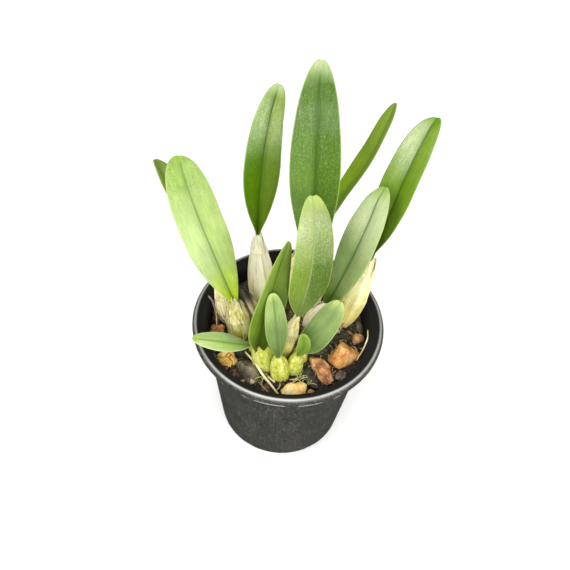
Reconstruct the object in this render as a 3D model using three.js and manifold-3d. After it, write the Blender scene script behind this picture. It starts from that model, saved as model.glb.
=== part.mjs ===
// A small orchid, dendrobium aggregatum, growing in a black plastic nursery pot.
// Millimetres. The origin is the centre of the pot's underside, +Z is up, +X is right and
// +Y points away from the viewer who sees the short new shoots in front.

import * as THREE from 'three';
import { mergeVertices } from 'three/addons/utils/BufferGeometryUtils.js';
import Module from 'manifold-3d';

const wasm = await Module();
wasm.setup();

// Pot: radii and heights of the moulded shape
const POT_HEIGHT = 90.4;
const RIM_RADIUS = 54;
const BASE_RADIUS = 37.2;
const SHOULDER_RADIUS = 47.1;
const SKIRT_HEIGHT = 4.5;
const WALL = 1;
const FLOOR = 1.4;
const SIDES = 40;
const NOTCHES = 6;
const NOTCH_FIRST = THREE.MathUtils.degToRad(-57);
const NOTCH = { width: 6, depth: 7, height: 3.4 };

// Clearance that is left wherever two pieces touch
const GAP = 0.3;

// Potting mix: height of its top, how much that top rises and falls, and how deep shoots stand in it
const SOIL_Z = 77;
const SOIL_WAVE = 2.2;
const SOIL_CROWN = 0.8;
const SHOOT_DEPTH = 2.5;

// Stems: radius at the neck, the place on the wave of the swelling where they start, and the mesh
const NECK_RADIUS = 1.8;
const STEM_START = 0.2;
const STEM_RINGS = 7;
const STEM_SIDES = 10;

// Shoots: each has a swollen stem that stands at its foot and leans to its neck. girth is its
// largest radius and fullness below 1 makes it plumper. The leaf starts at the neck, bends
// through middle and ends at tip. facing is the compass angle that its upper side looks to, in
// degrees from +X, twist turns it from base to tip, fold is the angle by which each half rises,
// widest is the place of the greatest width, and root is the share of that width at the base.
const SHOOTS = [
  {
    name: 'left_large', foot: [-26.5, -5], neck: [-30.3, -0.6, 101.9], girth: 6.3, fullness: 0.8, age: 'old',
    leaf: {
      middle: [-51.5, 11.2, 157.5], tip: [-63, 31.4, 177.5], width: 24, thick: 1.8, facing: -65, twist: -12,
      fold: 4, widest: 0.36, blunt: 2.1, root: 0.16,
    },
  },
  {
    name: 'far_left', foot: [-33, 6.5], neck: [-40.2, 11.9, 102.5], girth: 6.2, fullness: 0.8, age: 'old',
    leaf: {
      middle: [-58.5, 24, 140], tip: [-78.5, 42.5, 163], width: 22, thick: 1.7, facing: -14, twist: 9,
      fold: 24, widest: 0.5, blunt: 2.4, root: 0.16,
    },
  },
  {
    name: 'back_left', foot: [-15.5, 18], neck: [-21.5, 30.9, 125.1], girth: 7.2, fullness: 0.9, age: 'old',
    leaf: {
      middle: [-21.2, 49.5, 170.7], tip: [-16.2, 72.5, 194.5], width: 20, thick: 1.8, facing: -82,
      twist: -12, fold: 15, widest: 0.36, blunt: 1.9, root: 0.16,
    },
  },
  {
    name: 'back_centre', foot: [12, 21], neck: [10.9, 26.6, 108.9], girth: 6.8, fullness: 0.8, age: 'old',
    leaf: {
      middle: [6, 40.5, 174.5], tip: [4, 69.5, 214.7], width: 27, thick: 1.9, facing: -94, twist: 13,
      fold: 6, widest: 0.45, blunt: 1.7, root: 0.16,
    },
  },
  {
    name: 'back_right', foot: [-2.5, 32], neck: [5.2, 38.6, 108.3], girth: 6.4, fullness: 0.8, age: 'old',
    leaf: {
      middle: [32, 57.5, 151], tip: [47, 85.2, 180.5], width: 20, thick: 1.6, facing: -175, twist: 28,
      fold: 28, widest: 0.46, blunt: 1.8, root: 0.16,
    },
  },
  {
    name: 'centre', foot: [-1, -15.5], neck: [4.3, -11.9, 111.2], girth: 3.8, fullness: 0.9, age: 'old',
    leaf: {
      middle: [8.8, -5, 150.5], tip: [5.6, 13.2, 177], width: 22.6, thick: 1.7, facing: -66, twist: -11,
      fold: 8, widest: 0.31, blunt: 2.1, root: 0.16,
    },
  },
  {
    name: 'right_large', foot: [32, 12], neck: [42.5, 22.5, 122.5], girth: 7.4, fullness: 0.9, age: 'old',
    leaf: {
      middle: [54.4, 40.8, 173], tip: [66.2, 61, 192], width: 22.5, thick: 1.8, facing: -135, twist: 1,
      fold: 26, widest: 0.37, blunt: 1.7, root: 0.16,
    },
  },
  {
    name: 'right', foot: [11, 7.5], neck: [21.6, 6.7, 100.1], girth: 4.8, fullness: 0.8, age: 'old',
    leaf: {
      middle: [32.6, 12.8, 143.2], tip: [42.5, 31.5, 169], width: 25, thick: 1.7, facing: -150, twist: -6,
      fold: 6, widest: 0.52, blunt: 2.1, root: 0.3,
    },
  },
  {
    name: 'front_folded', foot: [-10.5, -23.5], neck: [-15.4, -22.5, 95.2], girth: 5.8, fullness: 0.6,
    age: 'new',
    leaf: {
      middle: [-11.5, -19, 129.5], tip: [-4, -3, 159.3], width: 20.5, thick: 1.5, facing: -45, twist: 42,
      fold: 20, widest: 0.44, blunt: 1.6, root: 0.5,
    },
  },
  {
    name: 'front_small', foot: [-1.8, -29], neck: [-4, -28.1, 93.8], girth: 4.8, fullness: 0.6, age: 'new',
    leaf: {
      middle: [-6.5, -26.7, 120.4], tip: [-9.7, -20.2, 139], width: 11.4, thick: 1.3, facing: -80, twist: -5,
      fold: 4, widest: 0.44, blunt: 1.6, root: 0.2,
    },
  },
  {
    name: 'front_round', foot: [5.2, -24.5], neck: [6.4, -24.2, 91.6], girth: 4.2, fullness: 0.6, age: 'new',
    leaf: {
      middle: [9, -23.5, 99.5], tip: [7.5, -22, 108.5], width: 7.5, thick: 1.1, facing: -80, twist: 0,
      fold: 8, widest: 0.45, blunt: 2.4, root: 0.3,
    },
  },
  {
    name: 'front_right', foot: [8.5, -16.5], neck: [7.5, -16.5, 87], girth: 4, fullness: 0.7, age: 'new',
    leaf: {
      middle: [15.5, -14.5, 97], tip: [26.5, -5, 118], width: 15.5, thick: 1.4, facing: -111, twist: 4,
      fold: 4, widest: 0.52, blunt: 3.1, root: 0.2,
    },
  },
  {
    name: 'front_left', foot: [-14.5, -15], neck: [-19.5, -17.2, 86], girth: 3, fullness: 0.7, age: 'new',
    leaf: {
      middle: [-34, -23, 95.5], tip: [-50, -24.5, 99], width: 11, thick: 1.2, facing: -142, uplook: 2,
      twist: 3, fold: 2, widest: 0.53, blunt: 2.1, root: 0.16,
    },
  },
  { name: 'leafless', foot: [-16, 3], neck: [-27.6, 7.5, 102.7], girth: 5, fullness: 0.8, age: 'dry' },
];

// Rhizomes: creeping stems just under the top of the mix, from the oldest shoot to the newest
const RHIZOME_RADIUS = 2;
const RHIZOME_DROP = 0.4;
const RHIZOMES = [
  { name: 'rhizome_left', through: [[-33, 6.5], [-26.5, -5], [-14.5, -15], [-10.5, -23.5]] },
  { name: 'rhizome_middle', through: [[-15.5, 18], [-16, 3], [-7, -8], [-1, -15.5], [-1.8, -29]] },
  { name: 'rhizome_right', through: [[-2.5, 32], [12, 21], [11, 7.5], [8.5, -16.5], [5.2, -24.5]] },
];

// Lumps: place, size, turn in degrees and the share of the height that is under the top.
// Their corners stand in or out by up to twice LUMP_UNEVEN of their radius.
const LUMP_UNEVEN = 0.07;
const LUMPS = [
  { name: 'clay_front', at: [6.3, -37.9], size: [13, 9.5, 8], turn: 6, sunk: 0.4, kind: 'clay' },
  { name: 'clay_round', at: [32.3, -13.6], size: [16.5, 14.5, 11], turn: 25, sunk: 0.4, kind: 'clay' },
  { name: 'clay_long', at: [21.5, -24.5], size: [20, 9, 9], turn: -56, sunk: 0.4, kind: 'clay' },
  { name: 'clay_cracked', at: [-32, -22.5], size: [11, 11, 8.5], turn: 20, sunk: 0.4, kind: 'clay' },
  { name: 'clay_back_left', at: [-40, -2.5], size: [9.5, 6, 6], turn: 10, sunk: 0.4, kind: 'clay' },
  { name: 'clay_small_right', at: [40.2, 0], size: [6.5, 6, 5.5], turn: 40, sunk: 0.35, kind: 'clay' },
  { name: 'clay_chip', at: [15.4, -39], size: [4.5, 4, 3.5], turn: 10, sunk: 0.3, kind: 'clay' },
  { name: 'clay_back', at: [33, 23.5], size: [7.5, 6.5, 6], turn: 30, sunk: 0.4, kind: 'clay' },
  { name: 'charcoal_left', at: [-20, -28], size: [15, 9, 9], turn: -50, sunk: 0.4, kind: 'charcoal' },
  { name: 'charcoal_middle', at: [14, -28.6], size: [15, 6, 7], turn: -60, sunk: 0.4, kind: 'charcoal' },
  { name: 'charcoal_right', at: [31.8, -26.2], size: [6.5, 6, 5.5], turn: 35, sunk: 0.4, kind: 'charcoal' },
  { name: 'charcoal_back_left', at: [-41, 9], size: [4.5, 6, 5], turn: 0, sunk: 0.3, kind: 'charcoal' },
  { name: 'bark_small_left', at: [-27.6, -31.5], size: [5, 6, 5], turn: 0, sunk: 0.4, kind: 'bark' },
  { name: 'bark_chip_front', at: [-8.6, -38.6], size: [6, 5.5, 4.5], turn: 50, sunk: 0.4, kind: 'bark' },
  { name: 'bark_sliver_right', at: [41.2, 9.6], size: [13, 3.6, 4], turn: -80, sunk: 0.3, kind: 'bark' },
  { name: 'bark_back_left', at: [-26.5, 29], size: [11, 8, 7], turn: 35, sunk: 0.4, kind: 'bark' },
  { name: 'bark_back', at: [6, 40], size: [11, 6.5, 6], turn: -10, sunk: 0.4, kind: 'bark' },
  { name: 'bark_back_right', at: [23.5, 31.5], size: [11, 8, 7], turn: -35, sunk: 0.4, kind: 'bark' },
];

// Roots and dry strands that lie on the mix, each through a few points
const ROOTS = [
  {
    name: 'root_front_long', radius: 0.7,
    through: [
      [-22.4, -20.6, 84.8], [-16.2, -27, 84.2], [-11.3, -32.9, 82], [-6.4, -37.5, 80], [-1.6, -42.7, 78.5],
    ],
  },
  {
    name: 'root_front_short', radius: 0.6,
    through: [[-9.2, -31, 78.6], [-6.5, -33.2, 78.6], [-3.3, -35, 77.8]],
  },
  {
    name: 'root_right_hook', radius: 0.6,
    through: [[45, -1, 88.5], [45, -6, 86.8], [43.2, -10.5, 82.8], [40.9, -13.8, 79], [39.9, -15.5, 77.2]],
  },
  {
    name: 'twig_left', radius: 0.7,
    through: [[-46.9, 12.3, 89.5], [-44, 10, 86.5], [-41.2, 4, 82.5], [-39.8, 2.2, 80]],
  },
];

// Mesh of a leaf: rows along it, and places across it as shares of the half width
const LEAF_ROWS = 12;
const LEAF_ACROSS = [-1, -0.5, 0, 0.5, 1];

const COLOURS = {
  pot: { color: 0x2b2b2a, roughness: 0.55 },
  mix: { color: 0x211a13, roughness: 0.95 },
  leaf: { color: 0x6f9a3c, roughness: 0.4 },
  old: { color: 0xd8cf9c, roughness: 0.75 },
  new: { color: 0xc3cf3c, roughness: 0.5 },
  dry: { color: 0xbfa577, roughness: 0.8 },
  rhizome: { color: 0x6b5a34, roughness: 0.85 },
  root: { color: 0xd9cba0, roughness: 0.8 },
  clay: { color: 0xc88a50, roughness: 0.9 },
  charcoal: { color: 0x3a3733, roughness: 0.85 },
  bark: { color: 0x6a4428, roughness: 0.9 },
};

// Closed geometry to solid: shared corners are merged and collapsed triangles dropped.
function toSolid(geometry) {
  const bare = geometry.clone();
  bare.deleteAttribute('normal');
  bare.deleteAttribute('uv');
  const merged = mergeVertices(bare, 1e-4);
  const corners = merged.index.array;
  const kept = [];
  for (let i = 0; i < corners.length; i += 3) {
    const [a, b, c] = corners.slice(i, i + 3);
    if (a !== b && b !== c && c !== a) kept.push(a, b, c);
  }
  const vertProperties = Float32Array.from(merged.attributes.position.array);
  return new wasm.Manifold(new wasm.Mesh({ numProp: 3, vertProperties, triVerts: Uint32Array.from(kept) }));
}

function toGeometry(solid) {
  const mesh = solid.getMesh();
  const geometry = new THREE.BufferGeometry();
  geometry.setAttribute('position', new THREE.BufferAttribute(mesh.vertProperties, 3));
  geometry.setIndex(new THREE.BufferAttribute(mesh.triVerts, 1));
  geometry.computeVertexNormals();
  return geometry;
}

// Revolved solid about +Z from [radius, height] pairs that start and end on the axis, going up
function revolve(outline, sides) {
  const points = outline.map(([radius, height]) => new THREE.Vector2(radius, height));
  return new THREE.LatheGeometry(points, sides).rotateX(Math.PI / 2);
}

// Inside radius of the pot's wall at a height below the shoulder
function wallInside(z) {
  const shoulder = POT_HEIGHT - SKIRT_HEIGHT;
  return BASE_RADIUS - WALL + (SHOULDER_RADIUS - BASE_RADIUS) * z / shoulder;
}

function makePot() {
  const shoulder = POT_HEIGHT - SKIRT_HEIGHT;
  const outline = [
    [0, 0], [BASE_RADIUS - 0.6, 0], [BASE_RADIUS, 1], [SHOULDER_RADIUS, shoulder],
    [RIM_RADIUS - 1, shoulder], [RIM_RADIUS, POT_HEIGHT - 1.5], [RIM_RADIUS - 1.4, POT_HEIGHT],
    [RIM_RADIUS - 3.6, POT_HEIGHT - 0.3], [wallInside(shoulder - 1), shoulder - 1],
    [wallInside(FLOOR), FLOOR], [0, FLOOR],
  ];
  let pot = toSolid(revolve(outline, SIDES));
  for (let i = 0; i < NOTCHES; i += 1) {
    const angle = NOTCH_FIRST + i * 2 * Math.PI / NOTCHES;
    const notch = new THREE.BoxGeometry(NOTCH.depth, NOTCH.width, NOTCH.height);
    notch.translate(BASE_RADIUS, 0, 0).rotateZ(angle);
    pot = pot.subtract(toSolid(notch));
  }
  return pot;
}

// Swollen stem: the radius follows half a sine wave that starts a little way up the wave.
// With grow it is larger all round, to cut its seat from a neighbour.
function makeStem(shoot, grow = 0) {
  const foot = new THREE.Vector3(shoot.foot[0], shoot.foot[1], SOIL_Z);
  const neck = new THREE.Vector3(...shoot.neck);
  const axis = neck.clone().sub(foot).normalize();
  const length = foot.distanceTo(neck) + SHOOT_DEPTH;
  const outline = [[0, -grow]];
  for (let i = 0; i <= STEM_RINGS; i += 1) {
    const s = i / STEM_RINGS;
    const wave = Math.sin(Math.PI * (s + STEM_START) / (1 + STEM_START));
    const swell = Math.max(wave, 0) ** shoot.fullness;
    const radius = NECK_RADIUS + (shoot.girth - NECK_RADIUS) * swell;
    const height = s * length + grow * (2 * s - 1);
    outline.push([radius + grow, height]);
  }
  outline.push([0, length + grow]);
  const stem = revolve(outline, STEM_SIDES);
  stem.translate(0, 0, -SHOOT_DEPTH);
  stem.applyQuaternion(new THREE.Quaternion().setFromUnitVectors(new THREE.Vector3(0, 0, 1), axis));
  stem.translate(foot.x, foot.y, foot.z);
  return toSolid(stem);
}

// Closed skin over a row of rings, with a fan of triangles over each end
function loft(rings) {
  const count = rings[0].length;
  const positions = rings.flat().flatMap((p) => [p.x, p.y, p.z]);
  const indices = [];
  for (let i = 0; i + 1 < rings.length; i += 1) {
    for (let j = 0; j < count; j += 1) {
      const a = i * count + j;
      const b = i * count + (j + 1) % count;
      indices.push(a, b, b + count, a, b + count, a + count);
    }
  }
  const last = (rings.length - 1) * count;
  for (let j = 1; j + 1 < count; j += 1) {
    indices.push(0, j + 1, j, last, last + j, last + j + 1);
  }
  const geometry = new THREE.BufferGeometry();
  geometry.setAttribute('position', new THREE.Float32BufferAttribute(positions, 3));
  geometry.setIndex(indices);
  return geometry;
}

// Share of the half width along the leaf: a parabola up to the widest place, then a round tip
function leafShare(leaf, t) {
  if (t < leaf.widest) return 1 - (1 - leaf.root) * ((leaf.widest - t) / leaf.widest) ** 2;
  return Math.sqrt(1 - ((t - leaf.widest) / (1 - leaf.widest)) ** leaf.blunt);
}

function makeLeaf(shoot) {
  const leaf = shoot.leaf;
  const foot = new THREE.Vector3(shoot.foot[0], shoot.foot[1], SOIL_Z);
  const neck = new THREE.Vector3(...shoot.neck);
  const base = neck.clone().add(neck.clone().sub(foot).normalize().multiplyScalar(GAP + 0.2));
  const tip = new THREE.Vector3(...leaf.tip);
  const pull = new THREE.Vector3(...leaf.middle).multiplyScalar(2);
  pull.sub(base.clone().add(tip).multiplyScalar(0.5));
  const spine = new THREE.QuadraticBezierCurve3(base, pull, tip);
  const rings = [];
  for (let i = 0; i <= LEAF_ROWS; i += 1) {
    const t = Math.min(Math.sin(Math.PI / 2 * i / LEAF_ROWS), 0.996);
    const along = spine.getTangent(t);
    const turn = THREE.MathUtils.degToRad(leaf.facing + leaf.twist * (t - 0.5));
    const up = new THREE.Vector3(Math.cos(turn), Math.sin(turn), leaf.uplook ?? 0.5);
    up.addScaledVector(along, -up.dot(along)).normalize();
    const side = new THREE.Vector3().crossVectors(along, up);
    const half = leaf.width / 2 * leafShare(leaf, t);
    const fold = THREE.MathUtils.degToRad(leaf.fold * (1 - 0.35 * t));
    const thick = Math.min(leaf.thick * (0.6 + 0.4 * Math.sin(Math.PI * t)), half);
    const point = (u, face) => {
      const rise = half * Math.sin(fold) * Math.abs(u) + face * thick / 2 * (1 - u * u);
      const place = spine.getPoint(t).addScaledVector(side, u * half * Math.cos(fold));
      return place.addScaledVector(up, rise);
    };
    const top = LEAF_ACROSS.map((u) => point(u, 1));
    const bottom = LEAF_ACROSS.slice(1, -1).reverse().map((u) => point(u, -1));
    rings.push([...top, ...bottom]);
  }
  return toSolid(loft(rings));
}

// Round tube through points; the ends stay flat
function makeTube(points, radius) {
  const path = new THREE.CatmullRomCurve3(points.map((p) => new THREE.Vector3(...p)));
  const section = new THREE.Shape().absarc(0, 0, radius, 0, 2 * Math.PI);
  const steps = 3 * (points.length - 1);
  const options = { steps, curveSegments: 3, bevelEnabled: false, extrudePath: path };
  return toSolid(new THREE.ExtrudeGeometry(section, options));
}

function makeRhizome(rhizome, grow = 0) {
  const z = SOIL_Z - SHOOT_DEPTH - GAP - RHIZOME_DROP - RHIZOME_RADIUS;
  return makeTube(rhizome.through.map(([x, y]) => [x, y, z]), RHIZOME_RADIUS + grow);
}

// Broken lump: a ball of flat faces whose corners are pushed in and out by crossed waves
function makeLump(lump, grow = 0) {
  const ball = new THREE.IcosahedronGeometry(0.5, 1);
  const corner = new THREE.Vector3();
  const place = ball.attributes.position;
  const seed = lump.at[0] + 2 * lump.at[1];
  for (let i = 0; i < place.count; i += 1) {
    corner.fromBufferAttribute(place, i);
    const crossed = Math.sin(9 * corner.x + seed) * Math.cos(8 * corner.y - seed);
    corner.multiplyScalar(1 + LUMP_UNEVEN * (crossed + Math.sin(7 * corner.z + 2 * seed)));
    place.setXYZ(i, corner.x, corner.y, corner.z);
  }
  const [length, width, height] = lump.size.map((size) => size + 2 * grow);
  ball.scale(length, width, height).rotateZ(THREE.MathUtils.degToRad(lump.turn));
  ball.translate(lump.at[0], lump.at[1], SOIL_Z + lump.size[2] * (0.5 - lump.sunk));
  return toSolid(ball);
}

// Uneven top of the potting mix, level at the wall
function relief(x, y) {
  const inward = Math.max(0, 1 - Math.hypot(x, y) / wallInside(SOIL_Z));
  return inward * (SOIL_WAVE * Math.sin(0.21 * x + 1) * Math.cos(0.17 * y) + SOIL_CROWN);
}

function makeMix() {
  const edge = wallInside(SOIL_Z) - GAP;
  const outline = [[0, FLOOR + GAP], [wallInside(FLOOR + GAP) - GAP, FLOOR + GAP], [edge, SOIL_Z]];
  for (const share of [0.84, 0.66, 0.48, 0.3, 0.14, 0]) outline.push([edge * share, SOIL_Z]);
  const body = revolve(outline, SIDES);
  const place = body.attributes.position;
  for (let i = 0; i < place.count; i += 1) {
    const [x, y, z] = [place.getX(i), place.getY(i), place.getZ(i)];
    if (z > SOIL_Z - 1) place.setZ(i, z + relief(x, y));
  }
  return toSolid(body);
}

// Cuts each cutter out of the solid.
function without(solid, cutters) {
  return cutters.reduce((rest, cutter) => rest.subtract(cutter), solid);
}

function addPiece(group, name, solid, at, finish) {
  const [x, y, z] = at;
  const geometry = toGeometry(solid).translate(-x, -y, -z);
  const mesh = new THREE.Mesh(geometry, new THREE.MeshStandardMaterial({ ...finish, metalness: 0 }));
  mesh.name = name;
  mesh.position.set(x, y, z);
  group.add(mesh);
}

const pottedOrchid = new THREE.Group();
const bed = new THREE.Group();
const plant = new THREE.Group();
pottedOrchid.add(bed, plant);

addPiece(pottedOrchid, 'pot', makePot(), [0, 0, 0], COLOURS.pot);

// Stems that press on each other: the later one gives way to those before it.
const seats = [];
for (const shoot of SHOOTS) {
  const origin = [shoot.foot[0], shoot.foot[1], SOIL_Z];
  const stem = without(makeStem(shoot), seats);
  addPiece(plant, `stem_${shoot.name}`, stem, origin, COLOURS[shoot.age]);
  seats.push(makeStem(shoot, GAP));
}
for (const shoot of SHOOTS.filter((each) => each.leaf)) {
  addPiece(plant, `leaf_${shoot.name}`, without(makeLeaf(shoot), seats), shoot.neck, COLOURS.leaf);
}
const rhizomeSeats = [];
for (const rhizome of RHIZOMES) {
  const origin = [...rhizome.through[0], SOIL_Z];
  const cutters = [...seats, ...rhizomeSeats];
  addPiece(plant, rhizome.name, without(makeRhizome(rhizome), cutters), origin, COLOURS.rhizome);
  rhizomeSeats.push(makeRhizome(rhizome, GAP));
}
const lumpSeats = LUMPS.map((lump) => makeLump(lump, GAP));
const rootSeats = ROOTS.map((root) => makeTube(root.through, root.radius + GAP));
for (const root of ROOTS) {
  const solid = without(makeTube(root.through, root.radius), [...seats, ...lumpSeats]);
  addPiece(plant, root.name, solid, root.through[0], COLOURS.root);
}
for (const lump of LUMPS) {
  const solid = without(makeLump(lump), seats);
  addPiece(bed, lump.name, solid, [...lump.at, SOIL_Z], COLOURS[lump.kind]);
}
const pockets = [...seats, ...rhizomeSeats, ...lumpSeats, ...rootSeats];
addPiece(bed, 'potting_mix', without(makeMix(), pockets), [0, 0, 0], COLOURS.mix);

export default pottedOrchid;
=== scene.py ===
# The looks of a small orchid, dendrobium aggregatum, that grows in a black plastic nursery pot.
# Sizes and places are in millimetres and become metres in each mesh. The origin is the centre of
# the pot's underside, +Z is up, +X is right and +Y points away from the viewer.
import math

import bpy
import numpy as np
from mathutils import Matrix


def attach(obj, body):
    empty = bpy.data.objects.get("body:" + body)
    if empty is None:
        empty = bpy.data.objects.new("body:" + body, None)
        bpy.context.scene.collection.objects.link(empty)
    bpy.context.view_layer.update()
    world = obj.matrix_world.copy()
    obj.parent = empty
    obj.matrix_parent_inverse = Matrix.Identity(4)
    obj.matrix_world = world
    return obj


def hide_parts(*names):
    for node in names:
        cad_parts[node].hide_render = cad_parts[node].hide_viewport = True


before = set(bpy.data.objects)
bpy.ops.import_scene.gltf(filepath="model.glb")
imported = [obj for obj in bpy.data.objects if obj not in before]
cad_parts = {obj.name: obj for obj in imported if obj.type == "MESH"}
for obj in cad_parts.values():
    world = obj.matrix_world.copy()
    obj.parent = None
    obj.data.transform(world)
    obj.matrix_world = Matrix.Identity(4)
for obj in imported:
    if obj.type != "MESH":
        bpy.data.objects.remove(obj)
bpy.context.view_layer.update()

MM = 0.001
TURN = 2 * np.pi


def named(terms, rows):
    """The rows of a table as dicts by its terms."""
    return {name: dict(zip(terms.split(), row)) for name, row in rows.items()}


# Pot, the gap inside it, and the height of the potting mix
POT_HEIGHT = 90.4
RIM_RADIUS = 54
BASE_RADIUS = 37.2
SHOULDER_RADIUS = 47.1
SHOULDER_Z = 85.9
WALL = 1
FLOOR = 1.4
GAP = 0.3
SOIL_Z = 77

# Drainage notches: their number, where the first one is, and the size of the box that cuts each
NOTCHES = 6
NOTCH_FIRST = math.radians(-57)
NOTCH = (7, 6, 3.4)

# The rim's outline from the shoulder, over the top and down inside: how far in from the rim's
# radius and how far down from the pot's height. Then how many of its smooth corners are inside.
ROLL = (
    (6.8, 4.4), (1.4, 4.4), (0.9, 4.6), (0.35, 4.4), (0.1, 3.8), (0.15, 3), (0, 2.4), (0.45, 1.1),
    (1.2, 0.4), (2.1, 0), (3.1, 0.2), (3.9, 0.9), (4.9, 1.9), (6.3, 2.7), (7.4, 3.7),
)
ROLL_INWARD = 34

# How deep a stem stands in the mix, its neck, where its swelling starts on its wave, and the gap
# between the neck and the leaf
STEM_DEPTH = 2.5
NECK_RADIUS = 1.8
STEM_START = 0.2
LEAF_GAP = 0.5

# Rows and columns of the meshes, and the first random seed of each kind of piece
POT_COLUMNS = 264
MIX_COLUMNS = 240
MIX_TOP_RINGS = 100
STEM_GRID = (110, 120)
FLAKE_GRID = (22, 51)
LEAF_GRID = (112, 33)
STONE_GRID = (38, 56)
CRUMB_GRID = (4, 6)
CHIP_GRID = (12, 16)
LEAF_SEED = 40
ROOT_SEED = 80
RHIZOME_SEED = 90
STEM_SEED = 200
LUMP_SEED = 300
FLAKE_SEED = 500

# Stems: foot, neck, girth, how fully they swell, and age. Two show the edge of a sheath at a share
# of their length, and a slim one is drawn in more at both ends.
STEMS = named("foot neck girth fullness age", {
    "left_large": ((-26.5, -5), (-30.3, -0.6, 101.9), 6.3, 0.8, "old"),
    "far_left": ((-33, 6.5), (-40.2, 11.9, 102.5), 6.2, 0.8, "old"),
    "back_left": ((-15.5, 18), (-21.5, 30.9, 125.1), 7.2, 0.9, "old"),
    "back_centre": ((12, 21), (10.9, 26.6, 108.9), 6.8, 0.8, "old"),
    "back_right": ((-2.5, 32), (5.2, 38.6, 108.3), 6.4, 0.8, "old"),
    "centre": ((-1, -15.5), (4.3, -11.9, 111.2), 3.8, 0.9, "old"),
    "right_large": ((32, 12), (42.5, 22.5, 122.5), 7.4, 0.9, "old"),
    "right": ((11, 7.5), (21.6, 6.7, 100.1), 4.8, 0.8, "old"),
    "front_folded": ((-10.5, -23.5), (-15.4, -22.5, 95.2), 5.8, 0.6, "new"),
    "front_small": ((-1.8, -29), (-4, -28.1, 93.8), 5.3, 0.6, "new"),
    "front_round": ((5.2, -24.5), (6.4, -24.2, 91.6), 4.5, 0.6, "new"),
    "front_right": ((8.5, -16.5), (7.5, -16.5, 87), 4, 0.7, "new"),
    "front_left": ((-14.5, -15), (-19.5, -17.2, 86), 3, 0.7, "new"),
    "leafless": ((-16, 3), (-27.6, 7.5, 102.7), 5, 0.8, "dry"),
})
STEMS["left_large"]["edge"] = 0.62
STEMS["right_large"]["edge"] = 0.46
STEMS["right"]["slim"] = 1.7

# Leaves: middle, tip, width, thickness, where the upper face looks, twist and fold in degrees,
# where they are widest, how blunt the tip is, the share of the width at the base, and the notch
# at the tip. In some, the right half is squarer or narrower, the tip reaches a little further, or
# the upper face looks further up.
LEAVES = named("middle tip width thick facing twist fold widest blunt root notch", {
    "left_large": ((-51.5, 11.2, 157.5), (-63, 31.4, 177.5), 24, 1.8, -65, -12, 4, 0.36, 2.4, 0.16, 1),
    "far_left": ((-58.5, 24, 140), (-78.5, 42.5, 163), 22, 1.7, -14, 9, 24, 0.5, 2.4, 0.16, 0.5),
    "back_left": ((-21.2, 49.5, 170.7), (-16.2, 72.5, 194.5), 20, 1.8, -82, -12, 15, 0.36, 1.6, 0.16, 0.5),
    "back_centre": ((6, 40.5, 174.5), (4, 69.5, 214.7), 27, 1.9, -94, 13, 6, 0.45, 1.5, 0.16, 0.6),
    "back_right": ((32, 57.5, 151), (47, 85.2, 180.5), 21, 1.6, -175, 28, 28, 0.46, 1.8, 0.16, 0.2),
    "centre": ((8.8, -5, 150.5), (5.6, 13.2, 177), 22.6, 1.7, -66, -11, 8, 0.31, 2.1, 0.16, 1.4),
    "right_large": ((54.4, 40.8, 173), (66.2, 61, 192), 22.5, 1.8, -135, 1, 26, 0.37, 1.7, 0.16, 0.6),
    "right": ((32.6, 12.8, 143.2), (42.5, 31.5, 169), 25, 1.7, -150, -6, 6, 0.52, 2.1, 0.3, 0.5),
    "front_folded": ((-11.5, -19, 129.5), (-4, -3, 159.3), 20.5, 1.5, -45, 42, 20, 0.44, 1.6, 0.5, 0.2),
    "front_small": ((-6.5, -26.7, 120.4), (-9.7, -20.2, 139), 11.8, 1.3, -80, -5, 4, 0.44, 2, 0.2, 0.4),
    "front_round": ((9, -23.5, 99.5), (7.5, -22, 108.5), 7.5, 1.1, -80, 0, 8, 0.45, 2.4, 0.3, 0.2),
    "front_right": ((15.5, -14.5, 97), (26.5, -5, 118), 15.5, 1.4, -111, 4, 4, 0.52, 3.1, 0.2, 0.3),
    "front_left": ((-34, -23, 95.5), (-50, -24.5, 99), 11, 1.2, -142, 3, 2, 0.5, 1.7, 0.16, 0.2),
})
LEAVES["back_left"].update(square=1.6, narrow=0.22, reach=0.02)
LEAVES["back_centre"].update(reach=0.0045)
LEAVES["front_left"].update(uplook=2, reach=0.025)

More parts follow.
